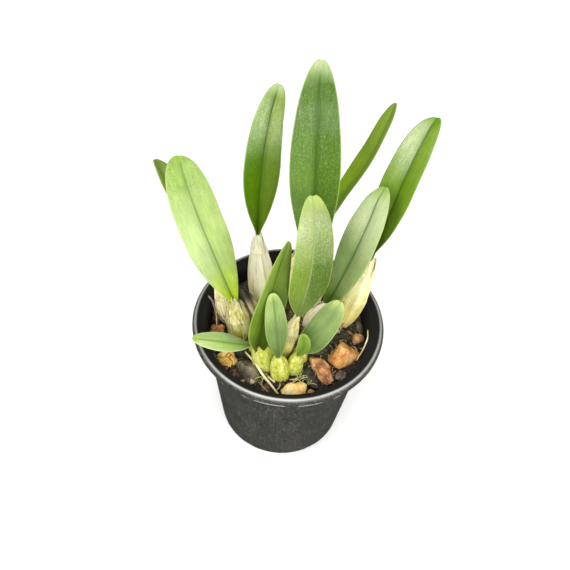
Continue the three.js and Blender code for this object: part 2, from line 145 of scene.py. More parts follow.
# Tones of the leaves: base, low and high on the left half, low and high on the right half, tip,
# margin and rib. On back_left, centre and right, and on the left half of right_large, the high
# tones are partly painted sheen. Then the share of pale dots low and high, of painted sheen in
# pale flecks on the left and on the right half, and of a band along the rib.
LEAF_TONES = {
    "left_large": ("e0ff10 d9f3a4 aed06c cae68a b0d074 a8cc58 dcf0a0 83a050", 0.4, 0.8, 0, 0, 0.2),
    "far_left": ("749030 9cc030 9cc43c 9cc038 9cc43c 8ca64c d8e6b0 cfdfa8", 0.3, 0.3, 0, 0, 0.1),
    "back_left": ("628008 588400 98bc60 688820 98b44c d8f0b0 c0d890 3e6008", 0.2, 0.2, 0.42, 0.3, 0.25),
    "back_centre": ("6a8a3a 789e48 5c8426 60862a 56821e d0e4a4 c4dc80 4a7020", 0.7, 0.25, 0.15, 0.1, 0.5),
    "back_right": ("a0c838 a6d232 98b838 98c634 90b03c 94b044 a0b860 94b050", 0.3, 0.3, 0, 0, 0.1),
    "centre": ("7c9648 8aa840 b8cc7c 648236 98b05e ccdf7c c8e070 a8bc78", 0.8, 0.5, 0.4, 0.3, 0.1),
    "right_large": ("5c8010 84a83c bcd488 80a828 8cb430 74ac08 a0b870 4e740e", 0.25, 0.25, 0.62, 0.1, 0.25),
    "right": ("668824 9cb870 d6eaa8 a4bc74 d8ecac acd066 c4dc84 52733a", 0.6, 0.6, 0.45, 0.45, 0.2),
    "front_folded": ("4c6410 80a432 90ae44 5e7826 78923a 90ac44 bcd868 5a7c22", 0.3, 0.3, 0, 0, 0.1),
    "front_small": ("728c44 8aaa5c b0cc78 86a25c a8c474 d0e880 bcd684 7c9a60", 0.45, 0.45, 0, 0, 0.1),
    "front_round": ("708c20 8ab03c 96b842 88a840 94b248 a4c450 c4de78 7ca040", 0.3, 0.3, 0, 0, 0.1),
    "front_right": ("547020 7a9c48 98b46c 84a256 a0bc70 d2e890 cce090 98b478", 0.4, 0.4, 0, 0, 0.1),
    "front_left": ("548000 b4d470 cce68c a4c474 b4d07c a8c850 e0eebc 7ca048", 0.12, 0.4, 0, 0, 0.1),
}

# Torn flakes of sheath: the shares of the stem's length that each spans, its middle and its span
# round the stem in degrees, and how far its upper edge flares
FLAKES = {
    "left_large": (
        (0.55, 1.1, 20, 150, 1.6), (0.6, 1.06, 160, 150, 1.2), (0.6, 1.28, 256, 150, 1.9),
        (0.0, 0.3, 90, 150, 0.5),
    ),
    "far_left": ((0.7, 1.04, 60, 150, 0.7), (0.7, 1.02, 220, 150, 0.8), (0.0, 0.3, 200, 150, 0.5)),
    "back_left": ((0.78, 1.03, 40, 150, 0.5), (0.8, 1.02, 230, 140, 0.6), (0.0, 0.24, 140, 170, 0.4)),
    "back_centre": ((0.74, 1.03, 80, 150, 0.6), (0.0, 0.28, 240, 150, 0.5)),
    "back_right": ((0.7, 1.02, 120, 150, 0.6), (0.0, 0.3, 300, 150, 0.5)),
    "centre": ((0.62, 1.0, 250, 150, 0.5), (0.0, 0.34, 60, 160, 0.5)),
    "right_large": ((0.8, 1.03, 20, 150, 0.6), (0.8, 1.02, 200, 150, 0.6), (0.0, 0.16, 220, 160, 0.4)),
    "right": ((0.6, 1.02, 100, 140, 0.6), (0.0, 0.3, 320, 150, 0.4)),
    "leafless": ((0.62, 1.08, 30, 140, 1.0), (0.6, 1.05, 190, 130, 0.8), (0.0, 0.3, 120, 150, 0.5)),
}

# How a stem is creased: broad angles as a share of its radius, the number of ribs, their height
# and that of the wrinkles, the size of the wrinkles and of the valleys between creases, how far
# both are drawn out lengthwise, how far the stem is drawn in at its neck and foot, and whether it
# is puffed up between its creases
STEM_FORMS = named("angles ribs rib wrinkle fine valley drawn_out drawn puffed", {
    "old": (0.045, 11, 0.4, 0.08, 1.3, 5, 0.07, 0.2, False),
    "dry": (0.05, 15, 0.65, 0.12, 1.2, 4, 0.08, 0.2, False),
    "new": (0.04, 7, 0.3, 0.07, 1.8, 4, 0.16, 0.04, True),
})

# Tones of the papery stems: pale, deep, lines and low down, then how much green shows through and
# how dark the top is
STEM_TONES = {
    "old": ("fffbdc", "f4edb8", "a08c58", "f2eab0", 0.2, 0),
    "left_large": ("e8de9e", "c2b85e", "6c5c2c", "a8a43e", 0.95, 0),
    "far_left": ("f0e8b8", "d6ca8c", "8a7440", "c0b868", 0.5, 0),
    "right_large": ("fffcd0", "fbf2a8", "a88e40", "fcec80", 0.15, 0),
    "centre": ("fbf2b4", "ece08c", "94782c", "e4d878", 0.3, 0),
    "back_left": ("fffee0", "fcf4c0", "bc9c6c", "f8f0b4", 0.15, 0),
    "right": ("fffae0", "faeec4", "c0a878", "f6eabe", 0.1, 0),
    "dry": ("a89868", "6e5e38", "30241a", "6e6038", 0.3, 0.8),
}

# Lumps in the mix: place, size, turn in degrees and the share of the height that is sunk
LUMPS = {
    "clay_front": ((6.3, -38.8), (13.2, 9.8, 8.4), 6, 0.38),
    "clay_round": ((32.3, -13.6), (16.5, 14.5, 11), 25, 0.4),
    "clay_long": ((21.5, -24.5), (20, 9, 9), -56, 0.4),
    "clay_cracked": ((-32, -22.5), (11, 11, 8.5), 20, 0.4),
    "clay_back_left": ((-40, -2.5), (9.5, 6, 6), 10, 0.4),
    "clay_small_right": ((40.2, 0), (6.5, 6, 5.5), 40, 0.35),
    "clay_chip": ((15.4, -39), (4.5, 4, 3.5), 10, 0.3),
    "clay_back": ((33, 23.5), (7.5, 6.5, 6), 30, 0.4),
    "charcoal_left": ((-20, -28), (15, 9, 9), -50, 0.4),
    "charcoal_middle": ((14, -28.6), (15, 6, 7), -60, 0.4),
    "charcoal_right": ((31.8, -26.2), (6.5, 6, 5.5), 35, 0.4),
    "charcoal_back_left": ((-41, 9), (4.5, 6, 5), 0, 0.3),
    "bark_small_left": ((-27.6, -31.5), (5, 6, 5), 0, 0.4),
    "bark_chip_front": ((-8.6, -38.6), (6, 5.5, 4.5), 50, 0.4),
    "bark_sliver_right": ((41.2, 9.6), (13, 3.6, 4), -80, 0.3),
    "bark_back_left": ((-26.5, 29), (11, 8, 7), 35, 0.4),
    "bark_back": ((6, 40), (11, 6.5, 6), -10, 0.4),
    "bark_back_right": ((23.5, 31.5), (11, 8, 7), -35, 0.4),
}

# How many flat faces each kind of lump has, and how sharp its edges are
LUMP_FORMS = {"clay": (17, 12), "charcoal": (13, 14), "bark": (11, 18)}

# Tones of the clay and of the charcoal
CLAY_TONES = {
    "front": "ffbe64 ffd280 ffe498 fff4c8",
    "round": "a86224 c28238 d69650 e2b674",
    "long": "84502a a86c3c cc9058 e2b080",
    "cracked": "c48c34 e0b04c f2c862 f8de90",
    "other": "8a5226 a87038 c08a50 d2aa70",
}
CHARCOAL_DULL = "2a231c 4e4336 74664f 988a70"
CHARCOAL_BLACK = "0c0b09 1a1812 2c281c 4c4630"

# Crumbs spread over the mix: their number, smallest and largest length, how high they are for
# their width, and random seed
CRUMBS = {"crumbs_fine": (1100, 0.7, 2, 0.8, 11), "crumbs_bark": (300, 1.8, 5, 0.45, 12)}

# Chips placed one by one on the mix: place, size, turn in degrees and tone from dark to pale
CHIPS = (
    ((-16.6, -34.7), (4.4, 3.2, 3), 20, 1), ((-32.6, -28.2), (4.6, 3.6, 3.2), 60, 0.5),
    ((-9, -39.1), (7, 1.3, 1.2), -50, 0.5), ((-11.5, -35.8), (5.5, 1.2, 1), -62, 0.88),
    ((18.6, -38.6), (5, 2, 2), 30, 0.5), ((34.2, 9.7), (4.6, 3, 2.4), 30, 0.5),
    ((36.1, 3.5), (5.5, 1.6, 1.6), -35, 0.5), ((39.5, -2.8), (4, 1.6, 1.6), 50, 0.9),
    ((32, 14), (5, 2, 1.8), 75, 0.5), ((36.5, -5), (4, 2.4, 2), 10, 0.6), ((-29, -5.3), (6, 4, 3), 30, 0.6),
    ((-42, 5), (5, 4, 4), 80, 0.6), ((-38, -13), (5, 2.5, 2), 20, 0.5), ((23, -1), (5, 2.4, 2), -20, 0.5),
    ((-22.5, -36), (4, 2, 1.6), 35, 0.93), ((28, 3), (4, 2, 2), 40, 0.88),
)

# Dry fibres: their number, and the radii inside which they start and end. Tufts of young roots:
# place, spread and number of roots. Loose strands: radius and places.
FIBRES = 70
FIBRE_START = 38
FIBRE_END = 43
TUFTS = (
    ((8.5, -31.5), 4.5, 9), ((10, -34.5), 4, 9), ((6.5, -34.5), 3, 5), ((13, -35), 4, 4),
    ((-1.7, -35.2), 3, 5), ((-9, -33), 4, 4), ((26, 4), 4, 5),
)
STRANDS = (
    (0.4, ((-41.6, 8.8, 86), (-41.2, 3, 83.5), (-40.2, -3, 80))),
    (0.45, ((-36.8, 2.2, 86), (-34.5, -2, 82.5), (-31.9, -5.6, 79))),
    (0.4, ((-42.2, -18.4, 81), (-40, -21, 80.4), (-36.9, -25.2, 79))),
    (0.3, ((30.3, -3.5, 80), (30.6, -5.2, 80.4), (31, -7.3, 79.6))),
    (0.3, ((-1.7, -35.2, 80.5), (-2, -38, 79.5), (-3.4, -40.3, 78.8))),
    (0.35, ((24, 12, 79.5), (27.5, 7, 80.6), (30, 2, 79.2))),
    (0.3, ((-13.5, -36.5, 80.2), (-9, -40.5, 79.4), (-6, -43, 79.6))),
)

# Rhizomes just under the top of the mix, and roots on it, each through a few places
RHIZOME_Z = 71.8
RHIZOME_RADIUS = 2
RHIZOMES = {
    "rhizome_left": ((-33, 6.5), (-26.5, -5), (-14.5, -15), (-10.5, -23.5)),
    "rhizome_middle": ((-15.5, 18), (-16, 3), (-7, -8), (-1, -15.5), (-1.8, -29)),
    "rhizome_right": ((-2.5, 32), (12, 21), (11, 7.5), (8.5, -16.5), (5.2, -24.5)),
}
ROOTS = {
    "root_front_long": (
        0.7,
        ((-22.4, -20.6, 84.8), (-16.2, -27, 84.2), (-11.3, -32.9, 82), (-6.4, -37.5, 80),
         (-1.6, -42.7, 78.5)),
    ),
    "root_front_short": (0.6, ((-9.2, -31, 78.6), (-6.5, -33.2, 78.6), (-3.3, -35, 77.8))),
    "root_right_hook": (
        0.45,
        ((45, -1, 88.5), (45, -6, 86.8), (43.2, -10.5, 82.8), (40.9, -13.8, 79), (39.9, -15.5, 77.2)),
    ),
    "twig_left": (0.7, ((-46.9, 12.3, 89.5), (-44, 10, 86.5), (-41.2, 4, 82.5), (-39.8, 2.2, 80))),
}

# Camera: where it stands, how far it looks down and how far it is rolled, and its lens
CAMERA_AT = (-3.8, -267.9, 452.8)
CAMERA_DOWN = math.radians(51.1)
CAMERA_ROLL = math.radians(5.21)
CAMERA_LENS = 50.53

# Sky: its strength near the ground and overhead, and the rise between (as the sine of the height)
SKY_LOW = 0.08
SKY_HIGH = 0.75
SKY_FROM = -0.05
SKY_TO = 0.5

# Soft lights: place, width and height in metres, and power in watts. All shine towards one place.
LIGHTS_AIM = (0, 0, 0.15)
LIGHTS = {
    "front": ((0, -0.95, 0.78), (1.5, 0.36), 12),
    "left": ((-0.78, -0.42, 1.2), (0.6, 0.6), 7),
    "right": ((0.9, -0.55, 0.6), (0.7, 0.7), 4),
    "behind": ((0.4, 0.7, 1.2), (0.9, 0.9), 3),
}

# How much light the leaves get: their colours are divided by it
LEAF_LIGHT = 1.6

FLOOR_HALF = 650


def ink(code, light):
    """Linear colour that shows as a six-digit screen colour on a surface that gets that much light."""
    values = [int(code[i:i + 2], 16) / 255 for i in (0, 2, 4)]
    linear = [v / 12.92 if v <= 0.04045 else ((v + 0.055) / 1.055) ** 2.4 for v in values]
    return (*(v / light for v in linear), 1)


class Wire:
    """An output socket in an expression: each operator adds one Math node."""

    def __init__(self, finish, socket):
        self.finish = finish
        self.socket = socket

    def math(self, operation, *others):
        sockets = dict(enumerate((self, *others)))
        return self.finish.node("ShaderNodeMath", {"operation": operation}, sockets)

    def __add__(self, other):
        return self.math("ADD", other)

    __radd__ = __add__

    def __sub__(self, other):
        return self.math("SUBTRACT", other)

    def __rsub__(self, other):
        return self * -1 + other

    def __mul__(self, other):
        return self.math("MULTIPLY", other)

    __rmul__ = __mul__

    def size(self):
        return self.math("ABSOLUTE")

    def rise(self, low, high):
        """0 up to low, 1 from high on, and a smooth step between them."""
        settings = {"interpolation_type": "SMOOTHSTEP"}
        return self.finish.node("ShaderNodeMapRange", settings, {0: self, 1: low, 2: high})

    def fall(self, low, high):
        """1 up to low, 0 from high on, and a smooth step between them."""
        return 1 - self.rise(low, high)


class Finish:
    """A material under construction, on a surface that gets that much light.

    Its nodes come from node(), over() lays a colour on those before it, and surface() ends it.
    A colour is a six-digit screen colour, or four factors to multiply by.
    """

    def __init__(self, name, light=1, kinds=bpy.data.materials):
        self.owner = kinds.new(name)
        self.owner.use_nodes = True
        self.tree = self.owner.node_tree
        self.tree.nodes.clear()
        self.light = light
        self.colour = None

    def node(self, kind, settings=None, sockets=None, output=0):
        made = self.tree.nodes.new(kind)
        for key, value in (settings or {}).items():
            if key == "stops":
                self.set_stops(made.color_ramp, value)
            else:
                setattr(made, key, value)
        for key, value in (sockets or {}).items():
            if isinstance(value, Wire):
                self.tree.links.new(value.socket, made.inputs[key])
            else:
                made.inputs[key].default_value = self.plain(value)
        return Wire(self, made.outputs[output]) if made.outputs else None

    def plain(self, value):
        return ink(value, self.light) if isinstance(value, str) else value

    def set_stops(self, ramp, stops):
        ramp.elements.remove(ramp.elements[1])
        ramp.elements[0].position = stops[0][0]
        ramp.elements[0].color = self.plain(stops[0][1])
        for place, colour in stops[1:]:
            ramp.elements.new(place).color = self.plain(colour)

    def mark(self, name, vector=False):
        """A value that the mesh carries at its corners."""
        return self.node("ShaderNodeAttribute", {"attribute_name": name}, None, 1 if vector else 2)

    def place(self):
        """The place on the piece, in metres."""
        return self.node("ShaderNodeTexCoord", None, None, 3)

    def noise(self, size, detail=2, roughness=0.55, where=None):
        """Smooth noise from 0 to 1 with lumps of that size, in metres or in the units of where."""
        sockets = {"Scale": 1 / size, "Detail": detail, "Roughness": roughness}
        return self.node("ShaderNodeTexNoise", None, {"Vector": where or self.place(), **sockets})

    def lines(self, size, detail, width, where):
        """Thin lines between the lumps of a noise, given from their middle to their edge."""
        return (self.noise(size, detail, where=where) - 0.5).size().fall(*width)

    def cells(self, size, feature="F1"):
        """Distance to the nearest of scattered points that lie about size metres apart."""
        sockets = {"Vector": self.place(), "Scale": 1 / size}
        return self.node("ShaderNodeTexVoronoi", {"feature": feature}, sockets)

    def ramp(self, value, *stops):
        return self.node("ShaderNodeValToRGB", {"stops": stops}, {0: value})

    def blend(self, amount, first, second, mode="MIX"):
        settings = {"data_type": "RGBA", "blend_type": mode}
        return self.node("ShaderNodeMix", settings, {0: amount, 6: first, 7: second}, 2)

    def over(self, amount, colour, mode="MIX"):
        self.colour = self.blend(amount, self.colour, colour, mode)

    def bump(self, height, depth, strength=1):
        """Surface direction over a height from 0 to 1 that stands depth metres proud."""
        sockets = {"Height": height, "Distance": depth, "Strength": strength}
        return self.node("ShaderNodeBump", None, sockets)

    def surface(self, roughness, normal=None, **constants):
        sockets = {"Base Color": self.colour, "Roughness": roughness, **constants}
        if normal:
            sockets["Normal"] = normal
        shader = self.node("ShaderNodeBsdfPrincipled", None, sockets)
        self.node("ShaderNodeOutputMaterial", None, {"Surface": shader})
        return self.owner


def swell(places, size, seed, waves=18):
    """Smooth noise of about -1 to 1: a sum of sine waves near size long, in random directions."""
    rng = np.random.default_rng(seed)
    heading = rng.normal(size=(waves, 3))
    heading /= np.linalg.norm(heading, axis=1, keepdims=True)
    heading /= size * rng.uniform(0.7, 1.6, (waves, 1))
    phase = rng.uniform(0, TURN, waves)
    return np.sin(places @ heading.T * TURN + phase).sum(axis=-1) / np.sqrt(waves) * 0.8


def unit(vectors):
    """The vectors at length 1."""
    return vectors / np.linalg.norm(vectors, axis=-1, keepdims=True)


def polar(radius, angle, height):
    """Places at that radius and height, turned by the angle about the vertical."""
    return np.stack(np.broadcast_arrays(radius * np.cos(angle), radius * np.sin(angle), height), axis=-1)


def full_turn(count):
    """Evenly spaced angles, from 0 to just before a full turn."""
    return np.linspace(0, TURN, count, endpoint=False)


def around(angle, first, second):
    """Directions that turn by the angle from the first towards the second."""
    return np.cos(angle)[..., None] * first + np.sin(angle)[..., None] * second


def turn_matrices(axis, angles):
    """Matrices that turn a place by each angle about the axis 0, 1 or 2."""
    made = np.tile(np.eye(3), (len(angles), 1, 1))
    i, j = (axis + 1) % 3, (axis + 2) % 3
    made[:, i, i] = made[:, j, j] = np.cos(angles)
    made[:, i, j] = -np.sin(angles)
    made[:, j, i] = np.sin(angles)
    return made


def turned(places, angle):
    """The places turned by the angle about the vertical."""
    return places @ turn_matrices(2, [angle])[0].T


def both_faces(across):
    """Places across the upper face of a sheet and back across the lower one, and which are lower."""
    places = np.concatenate([across, across[-2:0:-1]])
    return places, np.arange(len(places)) >= len(across)


def flat_rings(values):
    """Values on rings as one list."""
    return values.reshape(-1, *values.shape[2:])


def bell(values, width):
    """1 where the values are 0, and a smooth fall to 0 on both sides within about twice the width."""
    return np.exp(-((values / width) ** 2))


def cross_axes(along):
    """Two directions across a unit vector, at right angles to it and to each other."""
    helper = np.array([1.0, 0, 0]) if abs(along[0]) < 0.9 else np.array([0, 1.0, 0])
    first = unit(helper - along * (helper @ along))
    return first, np.cross(along, first)


def smooth_line(points, steps):
    """Catmull-Rom curve through the points, with that many steps to each stretch."""
    knots = np.asarray(points, float)
    knots = np.vstack([2 * knots[0] - knots[1], knots, 2 * knots[-1] - knots[-2]])
    t = np.linspace(0, 1, steps, endpoint=False)[:, None]
    stretches = []
    for a, b, c, d in zip(knots, knots[1:], knots[2:], knots[3:]):
        bent = (2 * a - 5 * b + 4 * c - d) * t**2 + (3 * b - a - 3 * c + d) * t**3
        stretches.append(0.5 * (2 * b + (c - a) * t + bent))
    return np.vstack([*stretches, knots[-2:-1]])


def skin_faces(rows, columns, zipped=False):
    """Faces of a closed skin over rings of corners, closed at each end.

    Rings turn anticlockwise seen from the last one, so that the faces look outwards. The ends
    get a fan to a middle corner, or are zipped: the two sides of each flat ring are joined.
    """
    i, j = np.meshgrid(np.arange(rows - 1), np.arange(columns), indexing="ij")
    a = i * columns + j
    b = i * columns + (j + 1) % columns
    quads = np.stack([a, b, b + columns, a + columns], axis=-1).reshape(-1, 4)
    ring = np.arange(columns)
    last = (rows - 1) * columns
    if zipped:
        turn = columns // 2
        one = np.arange(1, turn - 1)
        strip = np.stack([one, columns - one, columns - one - 1, one + 1], axis=-1)
        corners = np.array([(0, columns - 1, 1), (turn - 1, turn + 1, turn)])
        ends = [np.vstack([kind, kind[:, ::-1] + last]) for kind in (strip, corners)]
        return [np.vstack([quads, ends[0]]), ends[1]]
    following = (ring + 1) % columns
    first_middle = np.full(columns, rows * columns)
    start = np.stack([first_middle, following, ring], axis=-1)
    end = np.stack([first_middle + 1, last + ring, last + following], axis=-1)
    return [quads, np.vstack([start, end])]


def with_middles(values):
    """Values on rings as one list, then the mean of the first ring and of the last."""
    return np.concatenate([flat_rings(values), values[:1].mean(axis=1), values[-1:].mean(axis=1)])


def added(name, data):
    """A new object in the scene."""
    made = bpy.data.objects.new(name, data)
    bpy.context.scene.collection.objects.link(made)
    return made


def added_faces(name, corners, faces):
    """A new object from corners in mm and a list of faces."""
    mesh = bpy.data.meshes.new(name)
    mesh.from_pydata((corners * MM).tolist(), [], faces)
    return added(name, mesh)


def make_piece(name, corners, faces, material, stands_for=(), marks=None):
    """An object with its mesh: corners in mm, arrays of faces, and marks, values at the corners."""
    mesh = bpy.data.meshes.new(name)
    mesh.vertices.add(len(corners))
    mesh.vertices.foreach_set("co", (corners * MM).astype(np.float32).ravel())
    loops = np.concatenate([f.ravel() for f in faces]).astype(np.int32)
    sides = np.concatenate([np.full(len(f), f.shape[1]) for f in faces])
    starts = np.concatenate([[0], np.cumsum(sides)[:-1]]).astype(np.int32)
    mesh.loops.add(len(loops))
    mesh.loops.foreach_set("vertex_index", loops)
    mesh.polygons.add(len(sides))
    mesh.polygons.foreach_set("loop_start", starts)
    mesh.polygons.foreach_set("use_smooth", np.ones(len(sides), bool))
    mesh.update(calc_edges=True)
    for key, values in (marks or {}).items():
        kind, field = ("FLOAT", "value") if values.ndim == 1 else ("FLOAT_VECTOR", "vector")
        layer = mesh.attributes.new(key, kind, "POINT")
        layer.data.foreach_set(field, values.astype(np.float32).ravel())
    mesh.materials.append(material)
    piece = added(name, mesh)
    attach(piece, "root")
    if stands_for:
        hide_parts(*stands_for)
    return piece


def make_skin(name, rings, material, stands_for=(), marks=None):
    """A closed piece from rings of corners, with marks given on the same rings."""
    rows, columns = rings.shape[:2]
    ended = {key: with_middles(values) for key, values in (marks or {}).items()}
    faces = skin_faces(rows, columns)
    return make_piece(name, with_middles(rings), faces, material, stands_for, ended)


def revolved(outline, columns):
    """Rings of corners from [radius, height] pairs that run from the axis out and back to it."""
    radius, height = np.asarray(outline, float).T[..., None]
    return polar(radius, full_turn(columns), height)


def leaf_rings(stem, leaf, seed):
    """Rings round a leaf, from its base to its tip, and the marks that its colours need.

    The middle line is a quadratic curve. Across it, each half rises by the fold, which closes
    up at the base. The half width follows a parabola up to the widest place and a blunt round
    tip after it, squarer and narrower on the right where named. Both faces stand off by half
    the thickness, which rounds off at the margin. The rib is a groove above and a keel below,
    the tip has a small notch, and slow waves make the halves uneven.
    """
    rows, columns = LEAF_GRID
    base = np.array(stem["neck"]) + stem_axes(stem)[2] * LEAF_GAP
    tip = np.array(leaf["tip"])
    pull = 2 * np.array(leaf["middle"]) - (base + tip) / 2
    length = np.linalg.norm(pull - base) + np.linalg.norm(tip - pull)
    t = (np.sin(np.pi / 2 * np.linspace(0, 1, rows)) * 1.012 - 0.0125)[:, None]
    u, lower = both_faces(np.sin(np.pi / 2 * np.linspace(-1, 1, columns)))
    face = 1 - 2 * lower
    widest = leaf["widest"]
    below = 1 - (1 - leaf["root"]) * ((widest - t) / widest) ** 2
    beyond = np.clip((t - widest) / (1 - widest), 0, 1)
    blunt = leaf["blunt"] + leaf.get("square", 0) * (u > 0)
    share = np.where(t < widest, below, np.sqrt(np.maximum(1 - beyond**blunt, 1e-4)))
    slow = swell(t * (length, 0, 0) + (0, 0, 3), 34, seed)[:, None]
    narrow = 1 - leaf.get("narrow", 0) * (u > 0) * np.clip((t - 0.4) / 0.3, 0, 1)
    half = leaf["width"] / 2 * share * narrow * (1 + 0.012 * slow)
    from_rib = u * half
    near_tip = np.clip((t - 0.9) / 0.1, 0, 1) ** 2
    notched = t - leaf["notch"] / length * bell(from_rib, 1.2) * near_tip
    p = (notched * (1 + leaf.get("reach", 0)))[..., None]
    middle_line = (1 - p) ** 2 * base + 2 * p * (1 - p) * pull + p**2 * tip
    along = unit(2 * (1 - t) * (pull - base) + 2 * t * (tip - pull))
    turn = np.radians(leaf["facing"] + leaf["twist"] * (t - 0.5))
    up = np.concatenate([np.cos(turn), np.sin(turn), 0 * turn + leaf.get("uplook", 0.5)], axis=1)
    up = unit(up - along * (up * along).sum(axis=1, keepdims=True))
    side = np.cross(along, up)
    fold = np.radians(leaf["fold"] * (1 - 0.35 * t) + 34 * bell(np.maximum(t, 0), 0.09))
    hump = np.sin(np.pi * np.clip(t, 0, 1))
    thick = leaf["thick"] * (0.6 + 0.4 * hump + 0.9 * np.exp(-np.maximum(t, 0) / 0.02))
    stand = np.minimum(thick, 1.6 * half) / 2 * (1 - np.abs(u) ** 3) ** 0.5
    crease = np.sqrt(u**2 + 0.05**2) - 0.05
    groove = np.where(lower, 0.3, 0.42) * bell(from_rib, 0.55) * np.minimum(half / 3, 1)
    crown = 0.55 * np.sin(np.pi * np.abs(u)) * half / 11
    flat_place = np.stack([from_rib, t * length + 0 * u, 0 * from_rib], axis=-1)
    wide = np.minimum(half / 8, 1)
    uneven = 0.34 * swell(flat_place, 26, seed + 1) * wide
    ribbed = 0.05 * swell(flat_place * (1, 0.03, 1), 2.2, seed + 2) * wide
    rise = half * np.sin(fold) * crease + face * stand - groove + crown + uneven + ribbed * face
    sideways = side[:, None] * (from_rib * np.cos(fold))[..., None]
    marks = dict(
        along=t + 0 * u,
        across=u + 0 * t,
        from_rib=np.abs(from_rib),
        from_margin=(1 - np.abs(u)) * half,
        under=lower + 0 * t,
        grain=flat_place * (1, 0.06, 1) + (0, 0, seed * 7.3),
    )
    return middle_line + sideways + up[:, None] * rise[..., None], marks


def leaf_finish(name, tones, dots_low, dots_high, sheen_left, sheen_right, band_share):
    """Leathery leaf: colours along each half, partly painted sheen high up, painted sheen in pale flecks,
    streaks, pale dots, rib and margin.
    """
    paint = Finish(name, LEAF_LIGHT)
    base, *halves, tip, margin, rib = tones.split()
    along, from_rib, from_margin = paint.mark("along"), paint.mark("from_rib"), paint.mark("from_margin")
    grain = paint.mark("grain", vector=True)
    where = along + (paint.noise(0.012) - 0.5) * 0.12
    sides = []
    # On the leaves that catch the light, the high tones are partly painted sheen.
    for low, high in (halves[:2], halves[2:]):
        stops = ((0.03, base), (0.22, low), (0.42, low), (0.7, high), (0.86, high), (0.99, tip))
        sides.append(paint.ramp(where, *stops))
    right_half = paint.mark("across").rise(-0.03, 0.04)
    paint.colour = paint.blend(right_half, *sides)
    cloud = paint.noise(0.007, 3)
    paint.over(cloud.rise(0.4, 0.75) * 0.18, (1.5, 1.4, 1.2, 1), "MULTIPLY")
    paint.over(cloud.fall(0.25, 0.5) * 0.2, (0.7, 0.74, 0.6, 1), "MULTIPLY")
    streak = paint.noise(0.55, where=grain)
    paint.over(streak.rise(0.45, 0.8) * 0.6, (0.6, 0.66, 0.5, 1), "MULTIPLY")
    paint.over(paint.lines(2.4, 1, (0.01, 0.06), grain) * 0.3, (1.35, 1.3, 1.2, 1), "MULTIPLY")
    speck = paint.noise(0.0009, 2, 0.7)
    dot = paint.cells(0.0014).fall(0.05, 0.3) * paint.noise(0.006).rise(0.35, 0.6)
    dotted = where.rise(0.45, 0.75) * (dots_high - dots_low) + dots_low
    paint.over((speck.rise(0.55, 0.7) * 0.5 + dot * 0.45) * dotted, margin)
    paint.over(speck.fall(0.3, 0.42) * dotted * 0.4, "3c5c12")
    # Painted sheen: pale flecks high up on each half, by its share. The same zone gets a glossier coat.
    sheen_half_share = right_half * (sheen_right - sheen_left) + sheen_left
    sheen_zone = where.rise(0.38, 0.68) * where.fall(0.78, 0.94) * sheen_half_share
    paint.over((speck + streak).rise(0.85, 1.25) * sheen_zone, "eef6d4")
    paint.over(from_rib.fall(0.5, 3.2) * along.fall(0.8, 0.95) * band_share, rib)
    paint.over(from_rib.fall(0.15, 0.7) * along.fall(0.86, 0.97) * 0.75, rib)
    paint.over(from_margin.fall(0.2, 0.75) * 0.8, margin)
    underside = paint.mark("under") * from_margin.rise(0.1, 0.6)
    paint.over(underside * 0.45, "97ac70")
    roughness = 0.3 + cloud * 0.1 + speck.rise(0.5, 0.7) * 0.12 + underside * 0.15
    normal = paint.bump(streak * 0.3 + paint.noise(0.0007) * 0.5, 0.00022, 0.7)
    coat = sheen_zone * 0.45 + where.rise(0.4, 0.8) * 0.08 + 0.03
    gloss = {"Specular IOR Level": 0.08, "Coat Weight": coat, "Coat Roughness": 0.22}
    return paint.surface(roughness, normal, **gloss)


def make_leaves():
    """One leaf on each stem, from the tables of leaves and of their tones."""
    for n, (name, leaf) in enumerate(LEAVES.items()):
        rings, marks = leaf_rings(STEMS[name], leaf, LEAF_SEED + 3 * n)
        material = leaf_finish(f"leaf_{name}_green", *LEAF_TONES[name])
        make_skin(f"blade_{name}", rings, material, [f"leaf_{name}"], marks)


def stem_radius(stem, s):
    """Radius of a stem at share s of its length.

    Half a sine wave that starts a little way up, drawn in towards the neck and the foot.
    """
    wave = np.sin(np.pi * (s + STEM_START) / (1 + STEM_START))
    radius = NECK_RADIUS + (stem["girth"] - NECK_RADIUS) * np.maximum(wave, 0) ** stem["fullness"]
    drawn = STEM_FORMS[stem["age"]]["drawn"] * stem.get("slim", 1)
    return radius * (1 - drawn * bell(1 - s, 0.2) - drawn * bell(s, 0.16))


def stem_axes(stem):
    """The lowest point of a stem's axis, its length, and its directions along and across."""
    foot = np.array([*stem["foot"], SOIL_Z])
    neck = np.array(stem["neck"])
    along = unit(neck - foot)
    length = np.linalg.norm(neck - foot) + STEM_DEPTH
    return foot - along * STEM_DEPTH, length, along, *cross_axes(along)


def stem_place(stem, s, angle, radius):
    """Points at share s of the length, turned by angle and radius away from the axis."""
    start, length, along, first, second = stem_axes(stem)
    return start + (s * length)[..., None] * along + radius[..., None] * around(angle, first, second)


